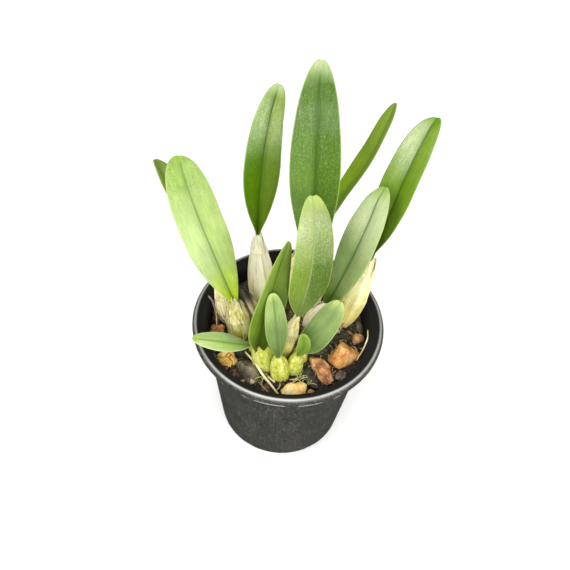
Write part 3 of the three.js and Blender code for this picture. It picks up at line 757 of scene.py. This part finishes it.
def stem_rings(stem, seed):
    """Rings up a stem and its marks.

    The swollen radius gets a few broad angles, then ribs on papery stems or furrows on plump
    ones. Both are led astray by slow noise and mixed with the narrow valleys of a noise drawn
    out lengthwise. Fine wrinkles come last, and the edge of a sheath where one is named.
    """
    form = STEM_FORMS[stem["age"]]
    rows, columns = STEM_GRID
    s, angle = np.meshgrid(np.linspace(0, 1, rows), full_turn(columns), indexing="ij")
    radius = stem_radius(stem, s)
    length = stem_axes(stem)[1]
    fat = radius / stem["girth"]
    round_place = polar(radius, angle, s * length)
    widest = stem["girth"] * polar(1, angle, s * length / stem["girth"])
    long_place = widest * (1, 1, form["drawn_out"])
    astray = 1.1 * swell(round_place, 24, seed) + 0.3 * swell(round_place, 9, seed + 1)
    regular = 1 - np.abs(np.sin(form["ribs"] * angle / 2 + astray))
    valley = bell(swell(long_place, form["valley"], seed + 5), 0.22)
    uneven = 0.65 + 0.35 * swell(round_place, 10, seed + 4)
    if form["puffed"]:
        crease = 0.15 - form["rib"] * (0.45 * regular**3 * uneven + 0.55 * valley)
    else:
        crease = form["rib"] * (0.8 * (regular**1.4 - 0.35) * uneven - 0.55 * valley + 0.2)
    broad = form["angles"] * radius * np.cos(4 * angle + 2 * s + seed)
    wrinkle = form["wrinkle"] * swell(long_place, form["fine"], seed + 2, 26)
    edge = stem.get("edge", -1) + 0.02 * np.sin(angle * 2 + seed)
    sheathed = (edge > 0) * np.clip((s - edge) / 0.2 + 1, 0, 1)
    step = 0.35 / (1 + np.exp(-np.clip((edge - s) / 0.004, -40, 40))) * sheathed
    out = radius + (crease + broad + wrinkle + step) * np.minimum(fat * 1.3, 1)
    marks = dict(
        along=s,
        ridge=regular * 0.5 + valley * 0.5,
        edge=bell(s - edge, 0.01),
        grain=widest * (1, 1, 0.02) + (0, 0, seed * 5.1),
    )
    return stem_place(stem, s, angle, out), marks


def papery_finish(name, pale, deep, line, low, green, dark_top):
    """Dry sheath over an old stem: cream, with brown lines lengthwise and green showing through."""
    paint = Finish(name)
    grain = paint.mark("grain", vector=True)
    along = paint.mark("along")
    broad = paint.noise(3, where=grain)
    paint.colour = paint.blend(broad.rise(0.4, 0.65), pale, deep)
    paint.over(along.fall(0.25, 0.75) * 0.75, low)
    fibre = paint.noise(1.1, 2, 0.6, where=grain)
    thin = paint.lines(1.7, 1, (0.008, 0.05), grain)
    paint.over(thin * paint.noise(0.006).rise(0.35, 0.6) * 0.55, line)
    paint.over(fibre.rise(0.56, 0.7) * 0.35, line)
    paint.over(fibre.fall(0.34, 0.46) * 0.6, "fffdea")
    # Brown on the sharp ribs and in the grooves: partly the sheath's own lines, partly painted shade in the
    # grooves.
    paint.over(paint.mark("ridge").rise(0.6, 0.9) * 0.4, line)
    paint.over(paint.noise(0.0035, 3).rise(0.5, 0.62) * along.fall(0.35, 0.8) * green, "a9b233")
    paint.over(paint.noise(0.0013).rise(0.6, 0.7) * along.fall(0.35, 0.85) * green * 0.7, "5d6b16")
    paint.over(paint.mark("edge") * 0.5, "f8f2c8")
    paint.over(along.rise(0.68, 0.9) * dark_top, "16110e")
    paint.over(along.fall(0.03, 0.14) * 0.6, "5b4a2c")
    height = fibre * 0.7 + paint.noise(0.0006) * 0.3
    return paint.surface(0.6 + broad * 0.15, paint.bump(height, 0.0003, 0.8))


def plump_finish():
    """Young stem: yellow-green skin, darker in its furrows as painted shade, and with pale dry patches."""
    paint = Finish("stem_young_green")
    grain = paint.mark("grain", vector=True)
    patch = paint.noise(0.0028, 3)
    stops = (0.3, "b0b834"), (0.43, "ccd048"), (0.54, "dfe070"), (0.68, "f4f4bc")
    paint.colour = paint.ramp(patch, *stops)
    # Painted shade: darker green in the furrows.
    paint.over(paint.mark("ridge").rise(0.3, 0.9) * 0.45, "96a028")
    streak = paint.noise(0.9, 3, where=grain)
    paint.over(streak.rise(0.5, 0.7) * 0.4, "9aa826")
    paint.over(streak.fall(0.3, 0.42) * 0.5, "f6f6c4")
    vein = paint.lines(1.6, 2, (0.006, 0.04), grain)
    paint.over(vein * 0.15, "949e2c")
    fine = paint.cells(0.0011, "DISTANCE_TO_EDGE").fall(0.02, 0.14)
    paint.over(fine * 0.3, "a2ac2e")
    paint.over(paint.noise(0.0009).rise(0.55, 0.66) * 0.5, "7f8c1c")
    paint.over(paint.mark("along").fall(0.05, 0.2) * 0.5, "6d6a24")
    height = streak * 0.5 + paint.noise(0.0008) * 0.3 - vein * 0.3 - fine * 0.08
    return paint.surface(0.36 + patch * 0.2, paint.bump(height, 0.0004, 0.9))


def make_flake(name, stem, flake, seed, material):
    """A torn flake of dry sheath: a thin curved patch that lies over a stem.

    It runs between two shares of the stem's length and spans an angle round it. Its upper edge
    is torn: each strip of it ends at its own height. It lifts off the stem towards that edge.
    """
    low, high, middle, span, flare = flake
    rows, columns = FLAKE_GRID
    u, inner = both_faces(np.linspace(-1, 1, columns))
    edge = np.stack([u * 9, 0 * u, 0 * u + seed], axis=-1)
    torn = 1 - 0.22 * np.abs(swell(edge, 5, seed)) - 0.12 * np.abs(swell(edge, 1.6, seed + 1))
    torn = torn - 0.3 * u**4
    row = np.linspace(0, 1, rows)[:, None]
    s = low + (high - low) * row * torn
    angle = np.radians(middle + span / 2 * u * (1 - 0.2 * row) + 7 * swell(edge, 8, seed + 2) * row)
    radius = stem_radius(stem, np.minimum(s, 1)) + 0.55 + flare * row**2 + 0.35 * np.abs(u) ** 3
    place = polar(radius, angle, s * 30)
    uneven = 0.22 * swell(place * (1, 1, 0.3), 2.4, seed + 3)
    radius = radius + uneven - 0.16 * inner * (1 - np.abs(u) ** 8)
    grain = place * (1, 1, 0.1) + (0, 0, seed)
    marks = dict(along=s, ridge=0 * s, edge=(row * torn) ** 4, grain=grain)
    flat = {key: flat_rings(values) for key, values in marks.items()}
    corners = flat_rings(stem_place(stem, s, angle, radius))
    faces = skin_faces(rows, len(u), zipped=True)
    make_piece(name, corners, faces, material, marks=flat)


def make_stems():
    """All stems, papery or plump by their age, and the torn flakes that lie over them."""
    finishes = {key: papery_finish(f"stem_{key}_sheath", *tones) for key, tones in STEM_TONES.items()}
    finishes["new"] = plump_finish()
    for n, (name, stem) in enumerate(STEMS.items()):
        rings, marks = stem_rings(stem, STEM_SEED + 6 * n)
        material = finishes.get(name) or finishes[stem["age"]]
        make_skin(f"cane_{name}", rings, material, [f"stem_{name}"], marks)
        for k, flake in enumerate(FLAKES.get(name, ())):
            make_flake(f"sheath_{name}_{k}", stem, flake, FLAKE_SEED + 10 * n + k, material)


def wall_inside(z):
    """Inside radius of the pot's wall at a height."""
    return BASE_RADIUS - WALL + (SHOULDER_RADIUS - BASE_RADIUS) * z / SHOULDER_Z


def kept_inside(places):
    """The same places, but none of them in the pot's wall: those are moved straight inwards."""
    reach = np.hypot(places[..., 0], places[..., 1])
    share = np.minimum(1, (wall_inside(places[..., 2]) - GAP) / np.maximum(reach, 1))
    return places * np.stack([share, share, np.ones_like(share)], axis=-1)


def pot_finish():
    """Black moulded plastic: dusty wall with fine pale specks, a painted highlight along the top of the rim
    that is brightest at the front, a thin painted highlight low on the skirt, and the inside painted near
    black as shade.
    """
    paint = Finish("pot_black_plastic")
    outside, rim, line = paint.mark("outside"), paint.mark("rim"), paint.mark("line")
    cloud = paint.noise(0.014, 4, 0.6)
    paint.colour = paint.blend(cloud.rise(0.3, 0.75), "31312d", "3d3c37")
    # Inside, the black plastic is painted near black: painted shade.
    paint.colour = paint.blend(outside, "030303", paint.colour)
    dust = paint.noise(0.0012, 3, 0.75)
    paint.over(dust.rise(0.46, 0.68) * (cloud.rise(0.2, 0.7) * 0.5 + 0.4) * outside * 0.55, "7a7a70")
    paint.over(dust.fall(0.32, 0.48) * outside * 0.7, "181816")
    speck = paint.cells(0.0026).fall(0.05, 0.2) * paint.noise(0.006).rise(0.4, 0.6)
    paint.over(speck * outside * 0.6, "a0a096")
    # Painted highlight along the top of the rim, brightest at the front.
    paint.over(rim * (paint.noise(0.02) * 0.5 + 0.5), "d4d2ca")
    # Painted highlight: a thin, broken bright line low on the skirt.
    paint.over(line * paint.noise(0.009).rise(0.5, 0.62), "e4e4dc")
    roughness = 0.85 - outside * 0.6 + cloud * 0.1 + dust * outside * 0.16
    normal = paint.bump(dust * outside, 0.00014, 0.8)
    return paint.surface(roughness, normal, **{"Specular IOR Level": 0.4})


def make_pot():
    """Revolved shell with a rolled rim over a short skirt, cut by drainage notches at its base."""
    roll = [(RIM_RADIUS - inward, POT_HEIGHT - down) for inward, down in ROLL]
    roll.append((wall_inside(SHOULDER_Z - 1), SHOULDER_Z - 1))
    foot = [(BASE_RADIUS - 1.5, 0), (BASE_RADIUS - 0.5, 0.4), (BASE_RADIUS, 1.3)]
    wall = np.linspace((BASE_RADIUS + 0.15, 2.6), (SHOULDER_RADIUS - 0.15, SHOULDER_Z - 1.2), 24)
    high, low = SHOULDER_Z - 3, FLOOR + 0.5
    inner = np.linspace((wall_inside(high), high), (wall_inside(low), low), 12)
    outer = np.vstack([[(0.5, 0), (20, 0)], smooth_line(foot, 4), wall, smooth_line(roll, 6)])
    floor = [(wall_inside(FLOOR) - 1, FLOOR), (20, FLOOR), (0.5, FLOOR)]
    outline = np.vstack([outer, inner, floor])
    radius, height = outline.T[..., None]
    flat = np.zeros(POT_COLUMNS)
    # Where the rim's painted highlight lies: along the top of its roll.
    rim = bell(radius - RIM_RADIUS + 1.75, 0.6) * (height > POT_HEIGHT - 2.2)
    # Where the skirt's painted highlight line lies: along its lower outer edge.
    line = bell(height - SHOULDER_Z - 0.6, 0.28) * (radius > RIM_RADIUS - 0.5)
    outside = np.arange(len(outline))[:, None] < len(outer) - ROLL_INWARD
    # The rim's painted highlight is brightest at the front, and half as bright at the sides and back.
    front = 0.5 + 0.5 * np.maximum(0, -np.sin(full_turn(POT_COLUMNS))) ** 2.5
    marks = dict(outside=outside + flat, rim=rim * front, line=line + flat)
    pot = make_skin("pot_shell", revolved(outline, POT_COLUMNS), pot_finish(), ["pot"], marks)
    corner = np.array([(x, y, z) for x in (-1, 1) for y in (-1, 1) for z in (-1, 1)]) / 2
    corner = corner * NOTCH + (BASE_RADIUS, 0, 0)
    sides = np.array([(0, 1, 3, 2), (4, 6, 7, 5), (0, 4, 5, 1), (2, 3, 7, 6), (0, 2, 6, 4), (1, 5, 7, 3)])
    corners = [turned(corner, NOTCH_FIRST + n * TURN / NOTCHES) for n in range(NOTCHES)]
    faces = [sides + 8 * n for n in range(NOTCHES)]
    cutter = added_faces("notches", np.vstack(corners), np.vstack(faces).tolist())
    cut = pot.modifiers.new("notches", "BOOLEAN")
    cut.operation, cut.solver, cut.object = "DIFFERENCE", "EXACT", cutter
    finished = bpy.data.meshes.new_from_object(pot.evaluated_get(bpy.context.evaluated_depsgraph_get()))
    pot.modifiers.clear()
    pot.data = finished
    finished.set_sharp_from_angle(angle=math.radians(40))
    bpy.data.objects.remove(cutter)


def mix_top(x, y):
    """Height of the mix: the slow relief of the solid, then lumps and grit that fade at the wall."""
    r = np.hypot(x, y)
    inward = np.maximum(0, 1 - r / wall_inside(SOIL_Z))
    slow = inward * (2.2 * np.sin(0.21 * x + 1) * np.cos(0.17 * y) + 0.8)
    place = np.stack([x, y, 0 * x], axis=-1)
    grit = 0.85 * swell(place, 6, 5) + 0.5 * swell(place, 2.6, 6) + 0.28 * swell(place, 1.2, 7, 26)
    return SOIL_Z + slow + grit * np.clip((wall_inside(SOIL_Z) - r) / 3, 0.15, 1)


def mix_finish():
    """Damp dark mix: near black, with brown crumbs, dull green growth and glints."""
    paint = Finish("mix_dark")
    crumb = paint.noise(0.0016, 4, 0.65)
    stops = (0.3, "080706"), (0.48, "15110d"), (0.6, "33261b"), (0.73, "6a5038")
    paint.colour = paint.ramp(crumb, *stops)
    growth = paint.noise(0.014, 3).rise(0.46, 0.58) * paint.noise(0.0012, 3).rise(0.42, 0.62)
    paint.over(growth * 0.75, "5c6020")
    return paint.surface(0.9 - crumb * 0.5, paint.bump(crumb, 0.0012))


def make_mix():
    """Body of the mix: a closed revolved shape whose top follows the height of the mix."""
    edge = wall_inside(SOIL_Z) - GAP
    low = FLOOR + GAP
    side = np.linspace((wall_inside(low) - GAP, low), (edge, SOIL_Z - 1), 16)
    top = np.linspace((edge, SOIL_Z), (0.4, SOIL_Z), MIX_TOP_RINGS)
    rings = revolved(np.vstack([[(0.5, low), (20, low)], side, top]), MIX_COLUMNS)
    top = rings[-MIX_TOP_RINGS:]
    top[..., 2] = mix_top(top[..., 0], top[..., 1])
    make_skin("mix_bed", rings, mix_finish(), ["potting_mix"])


def stone_rings(size, planes, sharpness, seed, grid=STONE_GRID):
    """Rings round a broken lump of that size about its own centre.

    A convex body with flat faces: along each direction the radius is a soft minimum over planes
    spread evenly round a ball, each at its own distance, so that its edges are worn a little.
    """
    rng = np.random.default_rng(seed)
    n = np.arange(planes) + 0.5
    lean = np.arccos(1 - 2 * n / planes)
    spin = np.pi * (1 + 5**0.5) * n
    normals = polar(np.sin(lean), spin, np.cos(lean))
    normals = unit(normals + rng.normal(scale=0.28, size=normals.shape))
    distance = rng.uniform(0.74, 1.04, planes)
    high = np.linspace(-np.pi / 2 + 0.03, np.pi / 2 - 0.03, grid[0])[:, None]
    ways = polar(np.cos(high), full_turn(grid[1]), np.sin(high))
    facing = np.maximum(ways @ normals.T / distance, 0.02)
    radius = (facing**sharpness).sum(axis=-1) ** (-1 / sharpness)
    radius /= radius.mean()
    return ways * radius[..., None] * np.array(size) / 2


def place_lump(rings, at, size, turn, sunk):
    """Turns a lump about the vertical and sets it into the mix."""
    return turned(rings, math.radians(turn)) + (*at, SOIL_Z + size[2] * (0.5 - sunk))


def clay_finish(name, tones):
    """Broken fired clay in four tones, gritty, and darker in patches low down."""
    paint = Finish(name)
    paint.colour = paint.ramp(paint.noise(0.0055, 2, 0.5), *zip((0.34, 0.45, 0.56, 0.68), tones.split()))
    grit = paint.noise(0.0009, 3, 0.7)
    paint.over(grit.rise(0.52, 0.7) * 0.5, "f6e2b8")
    paint.over(grit.fall(0.3, 0.42) * 0.6, "6a3a1a")
    paint.over(paint.noise(0.0028, 4, 0.6).rise(0.56, 0.7) * 0.45, "6e4420")
    paint.over(paint.mark("low") * paint.noise(0.002, 3).rise(0.3, 0.6) * 0.85, "2a190d")
    paint.over(paint.mark("crack"), "4a2c12")
    height = grit * 0.6 + paint.noise(0.0024, 3) * 0.6
    return paint.surface(0.85, paint.bump(height, 0.0008))


def charcoal_finish(name, tones):
    """Charcoal in four tones, with gritty patches and some green growth."""
    paint = Finish(name)
    broad = paint.noise(0.005, 3)
    paint.colour = paint.ramp(broad, *zip((0.3, 0.46, 0.6, 0.74), tones.split()))
    paint.over(paint.mark("low"), "14100e")
    grit = paint.noise(0.001, 3, 0.7)
    paint.over(grit.rise(0.55, 0.72) * 0.4, tones.split()[3])
    paint.over(paint.noise(0.006).rise(0.5, 0.64) * 0.45, "5c5c28")
    height = grit * 0.5 + paint.noise(0.003, 3) * 0.6
    return paint.surface(0.45 + broad * 0.3, paint.bump(height, 0.0009))


def bark_finish():
    """Bark: dull brown in layers, with dark gaps and pale torn fibres."""
    paint = Finish("bark_brown")
    layer = paint.noise(0.0022, 4, 0.6)
    stops = (0.3, "2a1c14"), (0.46, "4e392c"), (0.6, "765948"), (0.74, "aa8c74")
    paint.colour = paint.ramp(layer, *stops)
    return paint.surface(0.8, paint.bump(layer, 0.0009, 0.9))


def make_lumps():
    """Lumps of clay, charcoal and bark: broken stones with three sizes of slow noise on them.

    The long clay lump has grooves where a stretched noise is near 0. The cracked one is pressed
    in along two lines on its top that follow sine waves.
    """
    finishes = {f"clay_{key}": clay_finish(f"clay_tone_{key}", tones) for key, tones in CLAY_TONES.items()}
    finishes["charcoal"] = finishes["bark_sliver_right"] = charcoal_finish("charcoal_dull", CHARCOAL_DULL)
    black = charcoal_finish("charcoal_black", CHARCOAL_BLACK)
    finishes["charcoal_middle"] = finishes["bark_back_left"] = black
    finishes["bark"] = bark_finish()
    for n, (name, (at, size, turn, sunk)) in enumerate(LUMPS.items()):
        kind = name.split("_")[0]
        rings = stone_rings(size, *LUMP_FORMS[kind], LUMP_SEED + n)
        away = unit(rings)
        rough = 0.3 * swell(rings, 4.5, n + 20) + 0.2 * swell(rings, 1.8, n + 60)
        rough = rough + 0.07 * swell(rings, 0.8, n)
        if name == "clay_long":
            rough = rough - 0.5 * bell(swell(rings * (0.25, 1, 1), 4, 9), 0.25)
        rings = rings + away * (rough * min(size[2] / 6, 1))[..., None]
        crack = np.zeros(rings.shape[:2])
        if name == "clay_cracked":
            x, y, z = np.moveaxis(rings, -1, 0)
            along = bell(y - 1.1 - 0.9 * np.sin(0.9 * x + 0.4), 0.35) * (z > 0)
            across = bell(x - 1.6 - 0.8 * np.sin(1.3 * y), 0.35) * (z > 0) * (y < 1)
            crack = np.maximum(along, across)
            rings = rings - away * crack[..., None] * 1.1
        low = np.clip((0.05 - rings[..., 2] / size[2]) * 6, 0, 1)
        placed = kept_inside(place_lump(rings, at, size, turn, sunk))
        material = finishes.get(name) or finishes.get(kind) or finishes["clay_other"]
        make_skin(f"lump_{name}", placed, material, [name], dict(low=low, crack=crack))


def tube_rings(points, radius, taper, seed, steps=10, columns=14):
    """Rings along a smooth path; the radius tapers towards the ends by that share and is uneven."""
    path = smooth_line(points, steps)
    along = unit(np.gradient(path, axis=0))
    first = unit(np.cross(along, [0.13, 0.21, 0.97]))
    second = np.cross(along, first)
    s = np.linspace(0, 1, len(path))[:, None]
    angle = full_turn(columns)[None]
    size = radius * (1 - taper * np.abs(2 * s - 1) ** 3)
    out = around(angle, first[:, None], second[:, None])
    uneven = 1 + 0.14 * swell(path[:, None] + out * radius, 2.4, seed)
    return path[:, None] + out * (size * uneven)[..., None]


def root_finish(name, pale, deep):
    """Dry root or twig: straw colours with darker lengths and fine dark specks."""
    paint = Finish(name)
    broad = paint.noise(0.005, 3)
    paint.colour = paint.blend(broad.rise(0.35, 0.65), pale, deep)
    fine = paint.noise(0.0007, 3)
    paint.over(fine.rise(0.55, 0.7) * 0.5, "6c5026")
    return paint.surface(0.7, paint.bump(fine, 0.0002, 0.8))


def make_roots():
    """Roots and a twig on the mix, and rhizomes just under its top: tubes through a few places."""
    pale = root_finish("root_straw", "ece0b6", "cdb87c")
    woody = root_finish("rhizome_brown", "8a7444", "5c4626")
    twig = root_finish("twig_grey", "a08878", "74584a")
    for n, (name, (radius, points)) in enumerate(ROOTS.items()):
        rings = tube_rings(points, radius, 0.45, ROOT_SEED + n)
        make_skin(f"strand_{name}", rings, twig if name == "twig_left" else pale, [name])
    for n, (name, points) in enumerate(RHIZOMES.items()):
        path = [(x, y, RHIZOME_Z) for x, y in points]
        rings = tube_rings(path, RHIZOME_RADIUS, 0.2, RHIZOME_SEED + n, 10, 20)
        make_skin(f"runner_{name}", rings, woody, [name])


def scattered(count, rng, reach):
    """Random places over the top of the mix, out to that radius."""
    r = reach * np.sqrt(rng.uniform(0, 1, count))
    return polar(r, rng.uniform(0, TURN, count), 0)[:, :2]


def random_turns(count, rng, lean):
    """Random turn matrices: any turn about the vertical after a lean of that spread."""
    spin = rng.uniform(0, TURN, count)
    tip = rng.normal(scale=lean, size=(2, count))
    return turn_matrices(2, spin) @ turn_matrices(0, tip[0]) @ turn_matrices(1, tip[1])


def crumb_finish():
    """Loose crumbs of the mix: black, browns, grey, olive and buff by their own tone."""
    paint = Finish("mix_crumbs")
    stops = (
        (0, "0f0c0a"), (0.25, "241a12"), (0.4, "4d3522"), (0.5, "80604c"), (0.6, "343430"),
        (0.7, "7c5a3a"), (0.78, "55552a"), (0.86, "9a7a58"), (0.93, "b89670"), (1, "e2d2a6"),
    )
    paint.colour = paint.ramp(paint.mark("tone"), *stops)
    grit = paint.noise(0.0007, 3)
    paint.over(grit.rise(0.45, 0.65) * 0.4, "140e09")
    return paint.surface(0.8, paint.bump(grit, 0.0003, 0.8))


def crumb_corners(shape, at, size, turns, rng):
    """Corners of turned, stretched and slightly uneven copies of a small lump set on the mix."""
    uneven = 1 + rng.uniform(-0.16, 0.16, (len(at), len(shape), 1))
    corners = shape[None] * uneven * size[:, None] / 2
    corners = np.einsum("nij,nkj->nki", turns, corners)
    height = mix_top(at[:, 0], at[:, 1]) + 0.2 * size[:, 2]
    return corners + np.concatenate([at, height[:, None]], axis=1)[:, None]


def join_crumbs(name, corners, faces, tone, material):
    """One piece of many crumbs that share their faces."""
    count, each = corners.shape[:2]
    jump = (np.arange(count) * each)[:, None, None]
    all_faces = [(f[None] + jump).reshape(-1, f.shape[1]) for f in faces]
    corners = kept_inside(flat_rings(corners))
    make_piece(name, corners, all_faces, material, marks=dict(tone=np.repeat(tone, each)))


def make_crumbs():
    """Hundreds of small stones and bark chips on the mix, and a few chips placed one by one."""
    material = crumb_finish()
    for name, (count, small, large, flat, seed) in CRUMBS.items():
        rng = np.random.default_rng(seed)
        at = scattered(count, rng, wall_inside(SOIL_Z) - GAP - large / 2)
        long_size = small + (large - small) * rng.uniform(0, 1, count) ** 2
        shares = [np.ones(count), rng.uniform(0.4, 0.9, count), flat * rng.uniform(0.4, 0.9, count)]
        size = long_size[:, None] * np.stack(shares, axis=-1)
        shape = with_middles(stone_rings((2, 2, 2), 9, 10, seed, CRUMB_GRID))
        corners = crumb_corners(shape, at, size, random_turns(count, rng, 0.5), rng)
        tone = rng.uniform(0, 1, count) ** 1.1
        join_crumbs(name, corners, skin_faces(*CRUMB_GRID), tone, material)
    rng = np.random.default_rng(13)
    shape = with_middles(stone_rings((2, 2, 2), 11, 10, 14, CHIP_GRID))
    at, size, turn, tone = (np.array(column, float) for column in zip(*CHIPS))
    turns = random_turns(len(at), rng, 0.1)
    turns[:, :2, :2] = turn_matrices(2, np.radians(turn))[:, :2, :2]
    corners = crumb_corners(shape, at, size, turns, rng)
    join_crumbs("crumbs_placed", corners, skin_faces(*CHIP_GRID), tone, material)


def joined_tubes(name, paths, radii, material, columns=6):
    """Thin tubes along many paths, tapered to their ends, in one piece."""
    corners, faces = [], [[], []]
    total = 0
    for n, (path, radius) in enumerate(zip(paths, radii)):
        rings = tube_rings(path, radius, 0.6, n, 3, columns)
        for kind, made in enumerate(skin_faces(len(rings), columns)):
            faces[kind].append(made + total)
        corners.append(with_middles(rings))
        total += len(corners[-1])
    make_piece(name, kept_inside(np.vstack(corners)), [np.vstack(f) for f in faces], material)


def curled(at, heading, curl, reach, steps):
    """A line over the mix that starts out in a direction and curls, and an arch along it."""
    s = np.linspace(0, 1, steps)
    turn = heading + curl * s
    xs = at[0] + np.cumsum(np.cos(turn)) * reach / steps
    ys = at[1] + np.cumsum(np.sin(turn)) * reach / steps
    return xs, ys, np.sin(np.pi * s)


def make_fibres():
    """Thin dry fibres that curve over the mix, tufts of young roots, and a few loose strands."""
    rng = np.random.default_rng(31)
    paths, radii = [], []
    for at in scattered(FIBRES, rng, FIBRE_START):
        heading, curl, reach = rng.uniform(0, TURN), rng.normal(scale=1.1), rng.uniform(4, 12)
        xs, ys, arch = curled(at, heading, curl, reach, 6)
        inside = min(1, FIBRE_END / np.hypot(xs, ys).max())
        xs, ys = xs * inside, ys * inside
        zs = mix_top(xs, ys) + 0.25 + rng.uniform(0.2, 1.6) * arch
        paths.append(np.stack([xs, ys, zs], axis=-1))
        radii.append(rng.uniform(0.1, 0.24))
    straw = root_finish("fibre_straw", "dccb9c", "94794c")
    joined_tubes("fibres", paths, radii, straw)
    paths, radii = [], []
    for at, spread, count in TUFTS:
        for _ in range(count):
            heading, reach = rng.uniform(0, TURN), spread * rng.uniform(0.8, 2)
            xs, ys, arch = curled(at, heading, rng.normal(scale=1.2), reach, 9)
            zs = SOIL_Z + 1.6 + rng.uniform(0, 1) + rng.uniform(0.2, 2.4) * arch
            paths.append(np.stack([xs, ys, zs], axis=-1))
            radii.append(rng.uniform(0.09, 0.18))
    young = root_finish("root_young_yellow", "e6e4a0", "b4b45c")
    joined_tubes("tufts", paths, radii, young)
    radii, paths = zip(*STRANDS)
    joined_tubes("strands", paths, radii, straw, 8)


def make_floor():
    """Pale floor under the pot."""
    corners = FLOOR_HALF * np.array([(-1, -1, 0), (1, -1, 0), (1, 1, 0), (-1, 1, 0)])
    floor = added_faces("floor", corners, [(0, 1, 2, 3)])
    paint = Finish("floor_white")
    paint.colour = "f4f4f2"
    floor.data.materials.append(paint.surface(0.9))
    floor.visible_glossy = False


def make_camera():
    """Camera at the photograph's angle: it looks down on the plant and is rolled a little."""
    down, up = math.sin(CAMERA_DOWN), math.cos(CAMERA_DOWN)
    level = Matrix(((1, 0, 0), (0, down, up), (0, -up, down)))
    roll = Matrix.Rotation(-CAMERA_ROLL, 3, "Z")
    facing = (roll @ level).transposed().to_4x4()
    camera = added("camera", bpy.data.cameras.new("camera"))
    camera.data.lens = CAMERA_LENS
    camera.data.sensor_width = 36
    camera.data.clip_start = 0.01
    camera.matrix_world = Matrix.Translation([v * MM for v in CAMERA_AT]) @ facing
    bpy.context.scene.camera = camera


def make_light(name, at, aim, size, power):
    """Rectangular soft light, its width and height in metres, that shines from a place towards aim."""
    lamp = bpy.data.lights.new(name, "AREA")
    lamp.shape = "RECTANGLE"
    lamp.size, lamp.size_y = size
    lamp.energy = power
    light = added(name, lamp)
    away = unit(np.array(at, float) - np.array(aim, float))
    level = unit(np.cross([0, 0, 1.0], away))
    axes = Matrix(np.stack([level, np.cross(away, level), away], axis=-1).tolist()).to_4x4()
    light.matrix_world = Matrix.Translation(at) @ axes


def make_studio():
    """Sky light that is dim towards the ground, a wide soft light in front and smaller ones around.

    The viewer sees plain white where the floor ends. The floor isn't seen in reflections.
    """
    sky = Finish("studio", kinds=bpy.data.worlds)
    up = sky.node("ShaderNodeSeparateXYZ", None, {0: sky.node("ShaderNodeTexCoord")}, 2)
    rising = {0: up, 1: SKY_FROM, 2: SKY_TO, 3: SKY_LOW, 4: SKY_HIGH}
    glow = sky.node("ShaderNodeMapRange", {"interpolation_type": "SMOOTHSTEP"}, rising)
    strength = sky.node("ShaderNodeMix", None, {0: sky.node("ShaderNodeLightPath"), 2: glow, 3: 1})
    white = sky.node("ShaderNodeBackground", None, {"Color": (1, 1, 1, 1), "Strength": strength})
    sky.node("ShaderNodeOutputWorld", None, {"Surface": white})
    bpy.context.scene.world = sky.owner
    for name, (at, size, power) in LIGHTS.items():
        make_light(name, at, LIGHTS_AIM, size, power)
    bpy.context.scene.view_settings.view_transform = "Standard"


make_camera()
make_pot()
make_mix()
make_lumps()
make_roots()
make_crumbs()
make_fibres()
make_stems()
make_leaves()
make_floor()
make_studio()
